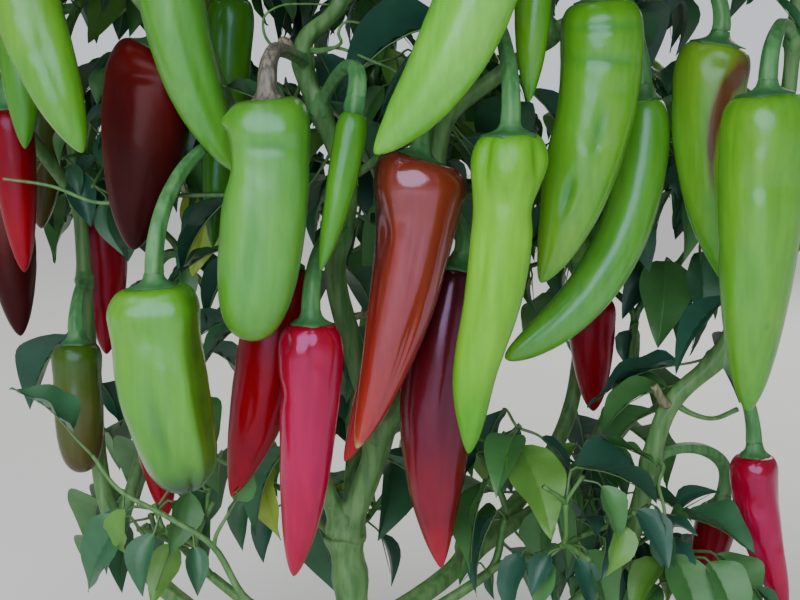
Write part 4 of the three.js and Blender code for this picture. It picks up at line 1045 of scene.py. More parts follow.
class Nodes:
    """The nodes of one material, made one after another."""

    def __init__(self, name, roughness, specular):
        self.material = bpy.data.materials.new(name)
        self.material.use_nodes = True
        self.tree = self.material.node_tree
        self.shader = self.tree.nodes["Principled BSDF"]
        self.feed(self.shader, {"Roughness": roughness, "Specular IOR Level": specular})
        self.place = self.tree.nodes.new("ShaderNodeTexCoord").outputs["Object"]

    def feed(self, node, inputs):
        """Gives a node's inputs their values, or links from other nodes."""
        for key, value in inputs.items():
            if isinstance(value, bpy.types.NodeSocket):
                self.tree.links.new(value, node.inputs[key])
            else:
                node.inputs[key].default_value = value

    def add(self, kind, inputs, **settings):
        node = self.tree.nodes.new("ShaderNode" + kind)
        for key, value in settings.items():
            setattr(node, key, value)
        self.feed(node, inputs)
        return node

    def value_of(self, attribute):
        return self.add("Attribute", {}, attribute_name=attribute).outputs["Fac"]

    def noise(self, scale, detail=3, stretch=(1, 1, 1)):
        """Noise through the object's space, in metres, longer along the axes whose stretch is small."""
        mapping = self.add("Mapping", {"Scale": stretch, "Vector": self.place})
        inputs = {"Scale": scale, "Detail": detail, "Vector": mapping.outputs["Vector"]}
        return self.add("TexNoise", inputs).outputs["Fac"]

    def math(self, operation, a, b):
        return self.add("Math", {0: a, 1: b}, operation=operation).outputs[0]

    def times(self, a, b):
        return self.math("MULTIPLY", a, b)

    def plus(self, a, b):
        return self.math("ADD", a, b)

    def ramp(self, value, stops):
        node = self.add("ValToRGB", {"Fac": value})
        elements = node.color_ramp.elements
        while len(elements) < len(stops):
            elements.new(0.5)
        for element, (position, tint) in zip(elements, stops):
            element.position = position
            element.color = tint
        return node.outputs["Color"]

    def mask(self, value, low, high):
        """Black up to one value and white from another."""
        return self.ramp(value, [(low, (0, 0, 0, 1)), (high, (1, 1, 1, 1))])

    def mix(self, share, a, b, how="MIX"):
        """Two colours mixed: they are inputs 6 and 7 of the node."""
        return self.add("Mix", {"Factor": share, 6: a, 7: b}, data_type="RGBA", blend_type=how).outputs[2]

    def bump(self, height, strength, distance=0.001):
        node = self.add("Bump", {"Strength": strength, "Distance": distance, "Height": height})
        self.feed(self.shader, {"Normal": node.outputs["Normal"]})

    def paint(self, tint):
        self.feed(self.shader, {"Base Color": tint})
        return self.material


# The waxy skin's highlights are a little blue on green peppers, and rosy on red ones.
BLUISH = (0.54, 0.74, 1.0, 1)
ROSY = (0.95, 0.6, 1.0, 1)

# Each look's colours from calyx to tip with their shares along, a second colour that clouds over it and how
# much, the colour of its stains and painted shade, how strong and how rough its gloss is, and the tint of
# its highlights.
LOOKS = {
    "green": dict(stops=[(0.0, 80, 142, 30), (0.25, 92, 154, 44), (0.75, 88, 154, 44), (1.0, 98, 154, 34)],
        cloud=(62, 130, 34), share=0.55, stain=(62, 130, 32), gloss=0.8, rough=0.3),
    "bright_green": dict(stops=[(0.0, 84, 146, 24), (0.3, 92, 154, 34), (0.8, 86, 150, 30),
        (1.0, 72, 140, 28)], cloud=(124, 170, 38), share=0.5, stain=(52, 124, 38)),
    "leaf_green": dict(stops=[(0.0, 62, 120, 24), (0.5, 74, 136, 32), (1.0, 60, 122, 24)],
        cloud=(92, 150, 34), share=0.4, stain=(60, 110, 24), gloss=0.5),
    "lime": dict(stops=[(0.0, 88, 156, 28), (0.3, 114, 178, 38), (0.7, 104, 172, 32), (1.0, 68, 142, 26)],
        cloud=(128, 186, 46), share=0.5, stain=(70, 120, 20), gloss=0.32),
    "pale_green": dict(stops=[(0.0, 96, 168, 40), (0.5, 112, 188, 54), (1.0, 92, 164, 36)],
        cloud=(136, 202, 72), share=0.5, stain=(80, 136, 30), gloss=0.75),
    "streaked": dict(stops=[(0.0, 104, 142, 34), (0.35, 92, 148, 34), (1.0, 76, 140, 28)],
        cloud=(118, 150, 38), share=0.45, stain=(98, 62, 34), gloss=0.5),
    "stained": dict(stops=[(0.0, 86, 150, 28), (0.55, 84, 148, 26), (0.85, 76, 134, 24),
        (1.0, 60, 100, 28)], cloud=(112, 164, 40), share=0.4, stain=(38, 60, 28), gloss=0.75),
    "turning": dict(stops=[(0.0, 58, 88, 20), (0.4, 78, 84, 28), (1.0, 84, 56, 26)], cloud=(58, 92, 30),
        share=0.5, stain=(60, 40, 20), gloss=0.4),
    "brown": dict(stops=[(0.0, 122, 48, 30), (0.35, 130, 44, 34), (0.7, 142, 42, 30), (0.93, 158, 46, 30),
        (0.97, 168, 62, 34), (1.0, 196, 190, 110)], cloud=(112, 38, 24), share=0.45, stain=(44, 22, 16),
        gloss=1.0, rough=0.15, bloom=(1.0, 0.68, 1.0, 1)),
    "maroon": dict(stops=[(0.0, 92, 14, 12), (0.5, 58, 14, 14), (1.0, 50, 12, 14)], cloud=(44, 12, 12),
        share=0.5, stain=(112, 14, 10), gloss=0.14, rough=0.3, bloom=(1.0, 0.8, 0.8, 1)),
    "dark_red": dict(stops=[(0.0, 56, 12, 18), (0.4, 88, 16, 22), (0.8, 122, 18, 24), (1.0, 160, 20, 28)],
        cloud=(62, 14, 26), share=0.5, stain=(50, 12, 20), gloss=0.6, rough=0.2, bloom=ROSY),
    "crimson": dict(stops=[(0.0, 148, 10, 30), (0.5, 168, 12, 58), (1.0, 166, 10, 30)], cloud=(140, 10, 50),
        share=0.4, stain=(92, 8, 24), gloss=0.75, rough=0.16, bloom=(0.9, 0.45, 1.0, 1)),
    "scarlet": dict(stops=[(0.0, 156, 12, 16), (0.5, 190, 20, 22), (1.0, 196, 30, 24)], cloud=(160, 12, 18),
        share=0.4, stain=(120, 8, 14), gloss=0.5, bloom=ROSY),
    "red": dict(stops=[(0.0, 112, 8, 16), (0.5, 136, 10, 20), (1.0, 150, 12, 22)], cloud=(96, 8, 14),
        share=0.45, stain=(80, 8, 14), gloss=0.32, bloom=ROSY),
}
LOOKS_OF_SLOTS = {"pepper_red": ["red", "crimson", "scarlet"],
                  "pepper_turning": ["brown", "maroon", "dark_red", "turning"]}


def skin_material(name, stops, cloud, share, stain, gloss=0.7, rough=0.26, bloom=BLUISH):
    """A pepper's skin: a waxy gloss over colours that change from calyx to tip, cloud, stains and painted
    shade, and streak.
    """
    nodes = Nodes(name, rough, gloss)
    nodes.feed(nodes.shader, {"Specular Tint": bloom})
    wander = nodes.times(nodes.math("SUBTRACT", nodes.noise(30, 2), 0.5), 0.25)
    along = nodes.plus(nodes.value_of("tone"), wander)
    base = nodes.ramp(along, [(at, colour(*tint)) for at, *tint in stops])
    clouds = nodes.mask(nodes.noise(38, 4, (1, 1, 0.45)), 0.42, 0.72)
    base = nodes.mix(nodes.times(clouds, share), base, colour(*cloud))
    # Stains, and painted shade along dents and on turned-away sides, broken up by noise.
    patchy = nodes.times(nodes.value_of("stain"), nodes.plus(nodes.noise(90, 4), 0.45))
    base = nodes.mix(nodes.math("MINIMUM", patchy, 1.0), base, colour(*stain))
    streaks = nodes.noise(300, 3, (1, 1, 0.08))
    base = nodes.mix(0.1, base, nodes.mask(streaks, 0.3, 0.7), "OVERLAY")
    nodes.bump(nodes.plus(nodes.noise(600, 4), nodes.times(streaks, 0.6)), 0.05)
    return nodes.paint(base)


def stem_material(name, green, pale, cork, dark=None):
    """Green stem skin with paler ridges, corky where the tone says so, and darker green where the
    stain-and-shade value says so.
    """
    nodes = Nodes(name, 0.5, 0.4)
    streaks = nodes.noise(260, 4, (1, 1, 0.14))
    base = nodes.mix(nodes.mask(streaks, 0.35, 0.65), green, pale)
    base = nodes.mix(nodes.times(nodes.noise(60, 3), 0.45), base, green)
    specks = nodes.mask(nodes.noise(420, 2), 0.68, 0.76)
    base = nodes.mix(nodes.times(specks, 0.35), base, cork)
    worn = nodes.plus(nodes.value_of("tone"), nodes.times(nodes.noise(320, 4), 0.5))
    rough = nodes.mask(worn, 0.62, 0.9)
    if dark:
        base = nodes.mix(nodes.times(nodes.value_of("stain"), 0.85), base, dark)
    cracks = nodes.mask(nodes.noise(520, 4, (1, 1, 0.25)), 0.4, 0.6)
    crust = nodes.mix(cracks, dimmed(cork, 0.35), cork)
    base = nodes.mix(rough, base, crust)
    nodes.bump(streaks, 0.3, 0.0008)
    return nodes.paint(base)


def leaf_material(name, tint):
    """A leaf's skin, a little mottled."""
    nodes = Nodes(name, 0.42, 0.45)
    patches = nodes.mask(nodes.noise(70, 4), 0.35, 0.7)
    base = nodes.mix(nodes.times(patches, 0.5), tint, dimmed(tint, 0.62))
    nodes.bump(nodes.noise(500, 3), 0.12)
    return nodes.paint(base)


CORK = colour(150, 134, 108)
stem_skin = stem_material("stem_skin", colour(68, 108, 54), colour(108, 144, 86), CORK)
stalk_skin = stem_material("stalk_skin", colour(62, 116, 62), colour(98, 146, 88),
                           colour(128, 116, 104), colour(34, 84, 44))
twig_skin = stem_material("twig_skin", colour(62, 102, 48), colour(92, 130, 70), CORK)
rib_skin = leaf_material("leaf_rib", colour(92, 124, 70))


# Stems


# Thin bare stalks, old stubs and a corky knob: the stem that each leaves, its radii from first to last, how
# corky it is, the places it passes, and where it starts if that isn't on the stem.
SPRIGS = [
    ("bough_centre", (1.3, 0.8, 0.6, 0.5), 0.1, [(-31, -28, 430), (-36, -33, 432), (-41, -38, 437),
     (-43, -40, 443), (-42, -38, 450), (-34, -34, 455), (-23, -30, 456), (-10, -26, 456)]),
    ("bough_centre", (1.4, 0.9, 0.7, 0.5), 0.0, [(-17, -28, 432), (-10, -33, 433), (-4, -38, 436),
     (-5, -41, 441), (-2, -40, 446), (5, -37, 446), (11, -34, 444), (15, -33, 439)]),
    ("bough_centre", (1.3, 0.9, 0.8, 0.6), 0.0, [(-17, -26, 433), (-8, -30, 434), (0, -33, 432),
     (12, -32, 427), (22, -30, 423), (28, -28, 418)]),
    ("bough_centre", (2.4, 2.2, 3.6, 3.8, 1.2), 1.0, [(-29, -28, 431), (-32, -30, 435), (-34, -31, 437),
     (-35, -32, 439)]),
    ("bough_centre", (3.2, 2.5, 2.3, 2.1), 0.2, [(3, -18, 369), (10, -22, 374), (18, -26, 381)]),
    ("bough_left", (1.8, 1.4, 1.1, 1.0, 0.7), 0.2, [(-66, -10, 357), (-80, -9, 357), (-110, -9, 356),
     (-136, -9, 353), (-161, -10, 362), (-186, -12, 366)]),
    ("bough_left", (1.1, 0.9, 0.6), 0.9, [(-58, -13, 362), (-60, -22, 366), (-64, -30, 362)]),
    ("bough_right", (3.0, 2.4, 2.2), 0.5, [(51, -17, 277), (53, -20, 282), (55, -22, 286)]),
    ("bough_far_right", (2.2, 1.5, 1.3, 1.5), 0.0, [(191, 14, 232), (205, 18, 228), (220, 24, 232)]),
    ("bough_far_right", (1.8, 1.3, 1.1, 0.9), 0.2, [(174, 4, 204), (171, 0, 194), (174, -3, 181),
     (174, -4, 169)]),
    ("bough_far_right", (3.4, 2.6, 2.4), 0.6, [(174, 6, 240), (170, 2, 246), (167, 0, 251)]),
    ("bough_centre", (2.4, 1.8, 1.7), 0.6, [(6, -8, 292), (14, -14, 296), (20, -18, 300)]),
    ("main_stem", (3.2, 2.4, 2.3), 0.6, [(-9, -6, 90), (-16, -10, 95), (-20, -12, 99)]),
    ("main_stem", (3.4, 2.3, 2.1, 1.7, 1.3, 1.0), 0.1, [(-12, -8, 122), (-32, -20, 126), (-57, -30, 138),
     (-74, -36, 170), (-99, -38, 188), (-123, -38, 202), (-137, -38, 221)]),
    ("main_stem", (1.3, 1.1, 0.9), 0.1, [(-72, -37, 178), (-65, -38, 190)], (-74, -36, 170)),
]
SPRIG_SIDES = 10


def sprig_tube(stem, radii, places, start, seed):
    """The tube of a bare stalk, from its start, or else from the nearest point of its stem."""
    first = np.array(places[0], float)
    nearest = stem.points[np.linalg.norm(stem.points - first, axis=1).argmin()]
    places = [*(start or [nearest]), *places]
    shares = np.linspace(0, 1, 6 * len(places))
    radii = np.interp(shares, np.linspace(0, 1, len(radii)), radii)
    return Tube(Path(smooth_curve(places, shares), radii), rib_depth=0.08, seed=seed)


for name in LIMBS:
    tube = tubes[name]
    rings = tube.rings(joined[name], STEM_SIDES)
    foot_cork = 0.0
    if name == "main_stem":
        rings[0, :, 2] = 0
        foot_cork = FOOT_CORK * np.exp(-np.maximum(rings[..., 2], 0) / FOOT_CORK_HEIGHT)
    skin = Skin()
    skin.add_rings(rings, 0, foot_cork + np.clip(tube.swelling, 0, 0.3)[:, None] * 1.2)
    for i, (on, radii, cork, places, *start) in enumerate(SPRIGS):
        if on == name:
            stalk = sprig_tube(tube.path, radii, places, start, i)
            skin.add_rings(stalk.rings([], SPRIG_SIDES), 0, cork)
    skin.piece(name + "_skin", [stem_skin], "stem", name)


# Peppers

FRONT_DETAIL = (92, 76)  # rings, and sides of each
HUNG_DETAIL = (60, 48)
CALYX_SIDES = 30
CALYX_SHARES = (0.15, 0.35, 0.55, 0.7, 0.82, 0.92, 1.0)
CALYX_POINTS = 5
SQUARENESS = 3.2
HOLLOW_SHARES = (0.25, 0.45, 0.7, 0.88)  # rings of the hollow under a calyx
# Lumps, and thin folds that run along a pepper's skin: where they are, how long, wide and deep.
LUMPS = 9
LUMP_PLACES, LUMP_LENGTHS, LUMP_WIDTHS, LUMP_DEPTHS = (0.08, 0.85), (0.05, 0.1), (16, 26), (-0.6, 1.3)
LUMP_DRAW = 70
FOLDS = 7
FOLD_PLACES, FOLD_LENGTHS, FOLD_DEPTHS = (0.1, 0.75), (0.05, 0.13), (0.2, 0.35)
FOLD_WIDTH = 5.5
FOLD_LEAN = 90
FOLD_DRAW = 80

def patch(share, angle, place):
    """How near each point of a pepper's skin is to a place on it, from 0 to 1."""
    at, degrees, long, wide = place
    away = (np.degrees(angle) - degrees + 180) % 360 - 180
    return np.exp(-((share - at) / long) ** 2 - (away / wide) ** 2)


def unevenness(share, angle, number):
    """Lumps and thin folds on the skin of one pepper, as depths in millimetres."""
    depth = 0.0
    for k in range(LUMPS):
        at, turn, long, wide, deep = (chance(number, k, LUMP_DRAW + draw) for draw in range(5))
        place = (within(LUMP_PLACES, at), 360 * turn, within(LUMP_LENGTHS, long), within(LUMP_WIDTHS, wide))
        depth = depth + within(LUMP_DEPTHS, deep) * patch(share, angle, place)
    for k in range(FOLDS):
        at, turn, long, lean, deep = (chance(number, k, FOLD_DRAW + draw) for draw in range(5))
        degrees = 360 * turn + FOLD_LEAN * (lean - 0.5) * (share - at)
        place = (within(FOLD_PLACES, at), degrees, within(FOLD_LENGTHS, long), FOLD_WIDTH)
        depth = depth + within(FOLD_DEPTHS, deep) * patch(share, angle, place)
    return depth * np.clip(1.1 - share, 0, 1) ** 0.5


def body_rings(pepper, number, rings, sides):
    """Rings over a pepper's body, from the hollow under its calyx to its tip, with shares, and with stains
    and painted shade.
    """
    even = np.linspace(0, 1, rings)
    shares = (0.45 * even + 0.55 * (0.5 - 0.5 * np.cos(math.pi * even))) * 0.9992
    points = bezier(pepper.body, shares)
    sideways, at = pepper.sway
    points[:, 0] += sideways * np.exp(-((shares - at) / 0.22) ** 2) * (1 - shares ** 6)
    along, side, other = framed(points)
    turn = np.arange(sides) * TURN / sides
    out = spokes(side, other, turn)
    share, angle = shares[:, None], turn[None]
    seed = 1.3 * number
    count, depth = pepper.lobes
    fade = np.clip(1.15 - share, 0, 1) * np.clip(0.4 + share * 5, 0, 1)
    lobed = angle + 0.8 * share + seed
    form = 1 + depth * fade * (np.cos(count * lobed) + 0.35 * np.cos(2 * count * lobed + 1.2))
    form = form + 0.012 * np.cos(angle * 2 + 9 * share + seed) + 0.008 * wave(share * 16 + 2 * angle, seed)
    squared, facing = pepper.square
    faced = angle - math.radians(facing)
    corners = np.abs(np.cos(faced)) ** SQUARENESS + np.abs(np.sin(faced)) ** SQUARENESS
    corners = corners ** (-1 / SQUARENESS) / 1.07
    form = form * (1 + squared * np.clip(1.25 - share, 0, 1) * (corners - 1))
    reach = pepper.radius * profile(shares, pepper.shape, rounded=True)[:, None] * form
    reach = reach - unevenness(share, angle, number) * min(1, pepper.radius / 18)
    for at, degrees, deep, long, wide in pepper.dents:
        reach = reach - deep * patch(share, angle, (at, degrees, long, wide))
    stain = sum(strength * patch(share, angle, place) for *place, strength in pepper.stains_and_shade)
    tilt, high_side = pepper.tilt
    lift = pepper.shoulder + tilt * np.cos(angle - math.radians(high_side))
    rise = (lift * np.exp(-(share / 0.07) ** 2))[..., None] * pepper.hanging
    skin = points[:, None] + out * np.maximum(reach, 0.2)[..., None] + rise
    inner = []
    for part in HOLLOW_SHARES:
        ring = skin[0] * part + points[0] * (1 - part)
        inner.append(ring - pepper.hanging * (1 - part) * (1.5 + pepper.shoulder * 0.5))
    shares = np.concatenate([[0] * len(inner), shares])
    stain = np.concatenate([np.zeros((len(inner), sides)), stain + np.zeros((rings, sides))])
    return np.concatenate([np.array(inner), skin]), shares, stain


def calyx_rings(pepper, seed):
    """Rings of the calyx, from the end of the stalk out to its toothed rim and under it."""
    angle = np.arange(CALYX_SIDES) * TURN / CALYX_SIDES
    axis, top = pepper.hanging, pepper.body[0]
    _, side, other = framed([top + axis * CALYX_NECK, top])
    out = spokes(side, other, angle)[0]
    rim = pepper.radius * pepper.rim
    neck = STALK_CALYX_RADIUS * pepper.neck
    points = np.cos(CALYX_POINTS * angle + seed)
    teeth = np.maximum(points, 0) ** 2
    tilt, high_side = pepper.tilt
    slope = 0.8 * tilt * np.cos(angle - math.radians(high_side))
    rings = []
    for share in CALYX_SHARES:
        radius = neck * (1 + 0.25 * share) + (rim - 1.25 * neck) * share ** 5
        radius = radius * (1 + 0.07 * points * share)
        height = CALYX_NECK * (1 - share) ** 0.9 + 0.7 + (pepper.shoulder * 0.75 + slope) * share
        rings.append(top + axis * height[:, None] + out * radius[:, None])
    lip = rim * (1 + 0.14 * teeth)
    low = pepper.shoulder * 0.75 + slope - 0.1 - 0.9 * teeth
    rings.append(top + axis * low[:, None] + out * lip[:, None])
    rings.append(top + axis * (low[:, None] - 0.6) + out * (lip[:, None] - 1.0))
    rings.append(top - axis * 0.5 + out * rim * 0.6)
    return np.array(rings)


def add_pepper(skin, pepper, number, skin_slot, stalk_slot, stalk_rings=None):
    """Adds a pepper's body, its calyx and its stalk to a skin."""
    near_front = stalk_rings is not None and pepper.body[0][1] < 0
    rings, shares, stain = body_rings(pepper, number, *(FRONT_DETAIL if near_front else HUNG_DETAIL))
    skin.add_rings(rings, skin_slot, shares, stain)
    if stalk_rings is None:
        stalk = Tube(pepper.stalk_path(14), rib_depth=STALK_RIB_DEPTH, seed=number)
        stalk_rings = stalk.rings([], CALYX_SIDES)
    calyx = calyx_rings(pepper, 1.3 * number)
    cork = np.concatenate([np.linspace(0.1, pepper.cork, len(stalk_rings)),
                           np.linspace(pepper.cork, 0.6 * pepper.cork, len(calyx))])
    # The calyx is darker green towards its rim and under it.
    dark = np.concatenate([np.zeros(len(stalk_rings)), np.linspace(0.2, 1, len(calyx))])
    skin.add_rings(np.concatenate([stalk_rings, calyx]), stalk_slot, cork, dark)


materials = {look: skin_material("skin_" + look, **LOOKS[look]) for look in LOOKS}
slots = {look: slot for slot, looks in LOOKS_OF_SLOTS.items() for look in looks}
for i, pepper in enumerate(peppers):
    skin = Skin()
    add_pepper(skin, pepper, i, 0, 1, tubes[pepper.name].rings(joined[pepper.name], CALYX_SIDES))
    skin.piece(pepper.name + "_skin", [materials[pepper.look], stalk_skin],
               slots.get(pepper.look, "pepper_green"), pepper.name)

hung_skin = Skin()
hung_looks = list(dict.fromkeys(pepper.look for pepper in hung_peppers))
for i, pepper in enumerate(hung_peppers):
    add_pepper(hung_skin, pepper, 50 + i, 1 + hung_looks.index(pepper.look), 0)
hung_skin.piece("hung_peppers", [stalk_skin] + [materials[look] for look in hung_looks], "pepper_red",
                *[mass.name for mass in MASSES if mass.hung])


# Twigs

TWIG_SKIN_RADII = [2.5, 2.1, 1.75, 1.45, 1.2, 1.0, 0.85]
MASS_STEM_SIDES = 12
TWIG_DETAIL = (8, 8)  # rings, and sides of each
FINE_TWIG_DETAIL = (5, 5)
mass_names = [mass.name for mass in MASSES]
twigs = Skin()
for name in mass_names:
    twigs.add_rings(tubes[name].rings(joined[name], MASS_STEM_SIDES), 0, tubes[name].swelling)
for fork in [fork for mass in MASSES for fork in mass.forks if fork.parent]:
    start, length = fork.parent.at, np.linalg.norm(fork.at - fork.parent.at)
    bend = [start, start + fork.parent.heading * length * 0.3, fork.at - fork.heading * length * 0.3,
            fork.at + fork.heading * 1.5]
    rings, sides = FINE_TWIG_DETAIL if fork.level > SOLID_LEVELS else TWIG_DETAIL
    shares = np.linspace(0, 1, rings)
    thick, thin = TWIG_SKIN_RADII[fork.level - 1], TWIG_SKIN_RADII[fork.level]
    radii = thick + (thin - thick) * shares + 0.35 * np.exp(-((1 - shares) / 0.12) ** 2)
    twigs.add_rings(Tube(Path(bezier(bend, shares), radii), seed=fork.number).rings([], sides))
twigs.piece("twigs", [twig_skin], "foliage", *mass_names)


# Leaves

# Leaf tints, dealt at random: the deep bluish green is painted shade, and the yellow green is painted
# sunlight glowing through a leaf.
LEAF_LOOKS = {
    "leaves_deep": (colour(42, 84, 66), 6),
    "leaves_dark": (colour(52, 98, 64), 7),
    "leaves_green": (colour(68, 118, 60), 6),
    "leaves_fresh": (colour(90, 136, 52), 2),
    "leaves_yellow": (colour(146, 170, 54), 1),
}


def bough_leaves(name, first, last, count):
    """Leaves along a stretch of a bough, each by the first of some tries that is clear of all near it."""
    leaves = []
    points, seed = limbs[name].points, len(name)
    for k in range(count):
        share = first + (last - first) * (k + 0.5) / count
        root = points[round(share * (len(points) - 1))]
        for attempt in range(BOUGH_LEAF_TRIES):
            angle = math.pi * (1.2 * chance(seed, k, attempt) - 0.1)
            outward = np.array([math.cos(angle), math.sin(angle), 0])
            droop = within(BOUGH_LEAF_DROOPS, chance(seed, k, attempt + 20))
            length = LEAF_LENGTH * within(BOUGH_LEAF_SIZES, chance(seed, k, attempt + 40))
            tip = root + unit(outward - UP * droop) * length
            leaf = PlacedLeaf(17 * k + seed, root, tip, unit(UP + outward * 0.6))
            if all_near.clear(leaf.samples()[1:], FINE_LEAF_CLEARANCE) and thicket.takes(leaf):
                leaves.append(leaf)
                break
    return leaves


def leaf_grid(veins, margins):
    """Shares along and across a leaf's blade for each point of its two halves, and its faces."""
    rows = [0.0, 0.03]
    for vein in range(veins):
        at = 0.1 + 0.8 * vein / veins
        rows += [at, at + 0.4 / veins]
    rows += [0.9, 0.96, 1.0]
    across = [-share for share in margins[:0:-1]] + margins
    columns = len(across)
    faces = []
    for i in range(len(rows) - 1):
        for j in range(columns - 1):
            a = i * columns + j
            faces.append([a, a + 1, a + columns + 1, a + columns])
    dip = np.tile([-1.0, 1.0], len(rows))[:len(rows)]
    return {"along": np.repeat(rows, columns), "side": np.tile(across, len(rows)),
            "dip": np.repeat(dip, columns), "faces": faces, "columns": columns}


FULL_GRID = leaf_grid(6, [0.0, 0.06, 0.38, 0.72, 1.0])
YOUNG_GRID = leaf_grid(3, [0.0, 0.5, 1.0])
YOUNG_SHARE = 0.55  # a leaf shorter than this, beside a full one, has the simpler grid
BLADE_DRAW = 40
SHADE_DRAW = 50
LEAF_FOLDS = (0.25, 0.6)
LEAF_QUILT = 0.015
LEAF_RIPPLE = 0.045
VEIN_SWEEP = 0.13


def leaf_points(leaf, grid):
    """The points of a leaf's blade: pointed, folded along its rib, quilted between its veins."""
    along, side, dip = grid["along"], grid["side"], grid["dip"]
    fold, twist, curl, ripple, phase = (leaf.fork.chance(leaf.draw + BLADE_DRAW + k) for k in range(5))
    length = (1 - LEAF_STALK_SHARE) * leaf.length
    half_width = LEAF_HALF_WIDTH_SHARE * leaf.length * (0.88 + 0.16 * twist)
    up = -leaf.under
    sweep = VEIN_SWEEP * np.abs(side) * np.sin(math.pi * np.minimum(along, 1)) ** 0.8
    t = np.clip(along + sweep * (1 - along), 0, 1)
    outline = np.sin(math.pi * t ** 0.72) ** 0.9 * (1 - 0.18 * t ** 4)
    outline = np.where(along >= 1, 0, np.where(along <= 0, 0.03, np.maximum(outline, 0)))
    u = side * outline
    lift = within(LEAF_FOLDS, fold) * np.abs(u) * half_width
    quilt = LEAF_QUILT * length * dip * (np.abs(side) > 0.05) * (1 - np.abs(side) ** 3) * outline
    waves = LEAF_RIPPLE * length * ripple * np.sin(TURN * (2.2 * t + phase) + 2 * (side > 0)) * side ** 2
    arch = length * (0.05 * np.sin(math.pi * t) - (0.05 + 0.2 * curl) * t ** 2.4)
    lean = np.sin(math.pi * t * 0.5) * 0.09 * (phase - 0.5) * length
    rise = lift + quilt + waves + arch
    roll = 0.7 * (twist - 0.5) * t
    across = leaf.across[None] * np.cos(roll)[:, None] + up[None] * np.sin(roll)[:, None]
    spine = leaf.neck[None] + leaf.blade[None] * (t * length)[:, None]
    points = spine + across * (u * half_width + lean)[:, None] + up[None] * rise[:, None]
    return points - UP[None] * (LEAF_SAG_SHARE * leaf.length * t ** 2)[:, None]


def rib_path(leaf, points, columns):
    """The leaf's stalk and midrib: from its root along the underside of the blade."""
    spine = points.reshape(-1, columns, 3)[:, columns // 2]
    bend = spine[0] - unit(spine[2] - spine[0]) * 0.3 * np.linalg.norm(spine[0] - leaf.root)
    stalk = bezier([leaf.root - leaf.stalk * 1.2, leaf.root + leaf.stalk * 0.45 * LEAF_STALK_SHARE
                    * leaf.length, bend, spine[0]], np.linspace(0, 1, 5))
    under = leaf.under * 0.35
    rib = spine[2:-2:3 if columns > 5 else 5] + under
    radii = np.concatenate([np.linspace(1.15, 0.9, len(stalk)), np.linspace(0.7, 0.25, len(rib))])
    return Path(np.concatenate([stalk, rib]), radii * (0.6 + 0.4 * leaf.length / LEAF_LENGTH))


fine_leaves += [PlacedLeaf(9 * number, *leaf) for number, leaf in enumerate(SHOOT_LEAVES)]
all_near = Capsules(obstacles + hung_capsules)
for stretch in LEAFY_STRETCHES:
    fine_leaves += bough_leaves(*stretch)
ribs = Skin()
leaf_skins = {name: Skin() for name in LEAF_LOOKS}
shades = [name for name, (_, count) in LEAF_LOOKS.items() for _ in range(count)]
for i, leaf in enumerate(solid_leaves + fine_leaves):
    spray = leaf.fork.number // 2
    shade = shades[int(len(shades) * chance(leaf.fork.mass.seed, spray, leaf.draw + SHADE_DRAW))]
    full = leaf.length > YOUNG_SHARE * LEAF_LENGTH
    grid = FULL_GRID if full else YOUNG_GRID
    points = leaf_points(leaf, grid)
    if i >= len(solid_leaves) and not in_box(points):
        continue
    leaf_skins[shade].add(points, grid["faces"])
    rib = Tube(rib_path(leaf, points, grid["columns"]), ribs=3, rib_depth=0.0)
    ribs.add_rings(rib.rings([], 4 if full else 3))
ribs.piece("leaf_ribs", [rib_skin], "foliage", *mass_names)
for name, (tint, _) in LEAF_LOOKS.items():
    leaf_skins[name].piece(name, [leaf_material(name + "_skin", tint)], "foliage", *mass_names)


# Stage

FLOOR_REACH = 8.0
FLOOR_CORNERS = [(-1, -1), (1, -1), (1, 1), (-1, 1)]
floor_mesh = bpy.data.meshes.new("floor")
floor_mesh.from_pydata([(x * FLOOR_REACH, y * FLOOR_REACH, 0) for x, y in FLOOR_CORNERS], [], [(0, 1, 2, 3)])
floor_nodes = Nodes("floor_paint", 0.9, 0.1)
floor_mesh.materials.append(floor_nodes.paint(floor_nodes.mix(
    floor_nodes.noise(3), (0.62, 0.62, 0.62, 1), (0.66, 0.66, 0.66, 1))))
floor = placed_object("floor", floor_mesh)

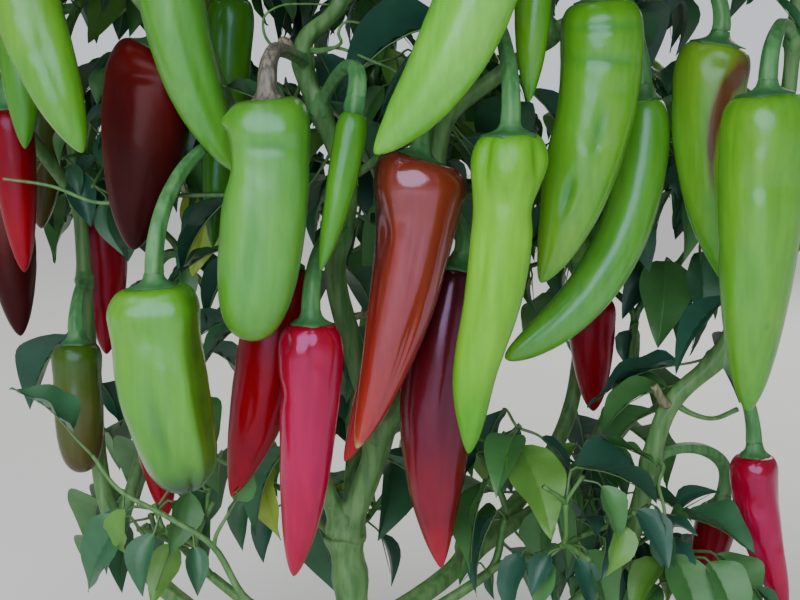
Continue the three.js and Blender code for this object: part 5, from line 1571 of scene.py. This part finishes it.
WORLD_TINT = (0.82, 0.87, 0.93, 1)
BACKDROP_STRENGTH = 0.9
AMBIENT_STRENGTH = 0.28
world = bpy.data.worlds.new("studio")
world.use_nodes = True
nodes, links = world.node_tree.nodes, world.node_tree.links
backdrop, ambient = nodes["Background"], nodes.new("ShaderNodeBackground")
for node, strength in ((backdrop, BACKDROP_STRENGTH), (ambient, AMBIENT_STRENGTH)):
    node.inputs["Color"].default_value = WORLD_TINT
    node.inputs["Strength"].default_value = strength
rays, choice = nodes.new("ShaderNodeLightPath"), nodes.new("ShaderNodeMixShader")
for i, output in enumerate((rays.outputs["Is Camera Ray"], ambient.outputs[0], backdrop.outputs[0])):
    links.new(output, choice.inputs[i])
links.new(choice.outputs[0], nodes["World Output"].inputs["Surface"])
bpy.context.scene.world = world


def aimed(name, data, place, target):
    """A lamp or camera at a place, turned to a target."""
    thing = placed_object(name, data)
    thing.location = place
    thing.rotation_euler = (Vector(target) - thing.location).to_track_quat("-Z", "Y").to_euler()
    return thing


def light(name, kind, energy, tint):
    lamp = bpy.data.lights.new(name, kind)
    lamp.energy = energy
    lamp.color = tint
    return lamp


def softbox(name, place, target, width, height, power, tint):
    """A soft oval lamp that the camera doesn't see."""
    lamp = light(name, "AREA", power, tint)
    lamp.shape = "ELLIPSE"
    lamp.size, lamp.size_y = width, height
    aimed(name, lamp, place, target).visible_camera = False


softbox("front_light", (-0.3, -1.5, 0.85), (0, 0, 0.35), 2.0, 1.4, 32, (0.8, 0.91, 1.0))
softbox("back_light", (1.0, 1.8, 1.5), (0, 0, 0.4), 1.6, 1.6, 22, (1.0, 0.98, 0.86))
sky = light("sky_light", "SUN", 2.2, (1.0, 0.98, 0.94))
sky.angle = math.radians(50)
aimed("sky_light", sky, (-0.6, -0.6, 2.4), (0, 0, 0.4))

CAMERA_PLACE = (0.026, -0.7263, 0.4009)
CAMERA_TARGET = (0.026, -0.04, 0.3045)
lens = bpy.data.cameras.new("camera")
lens.lens = 60
lens.clip_start = 0.01
bpy.context.scene.camera = aimed("camera", lens, CAMERA_PLACE, CAMERA_TARGET)
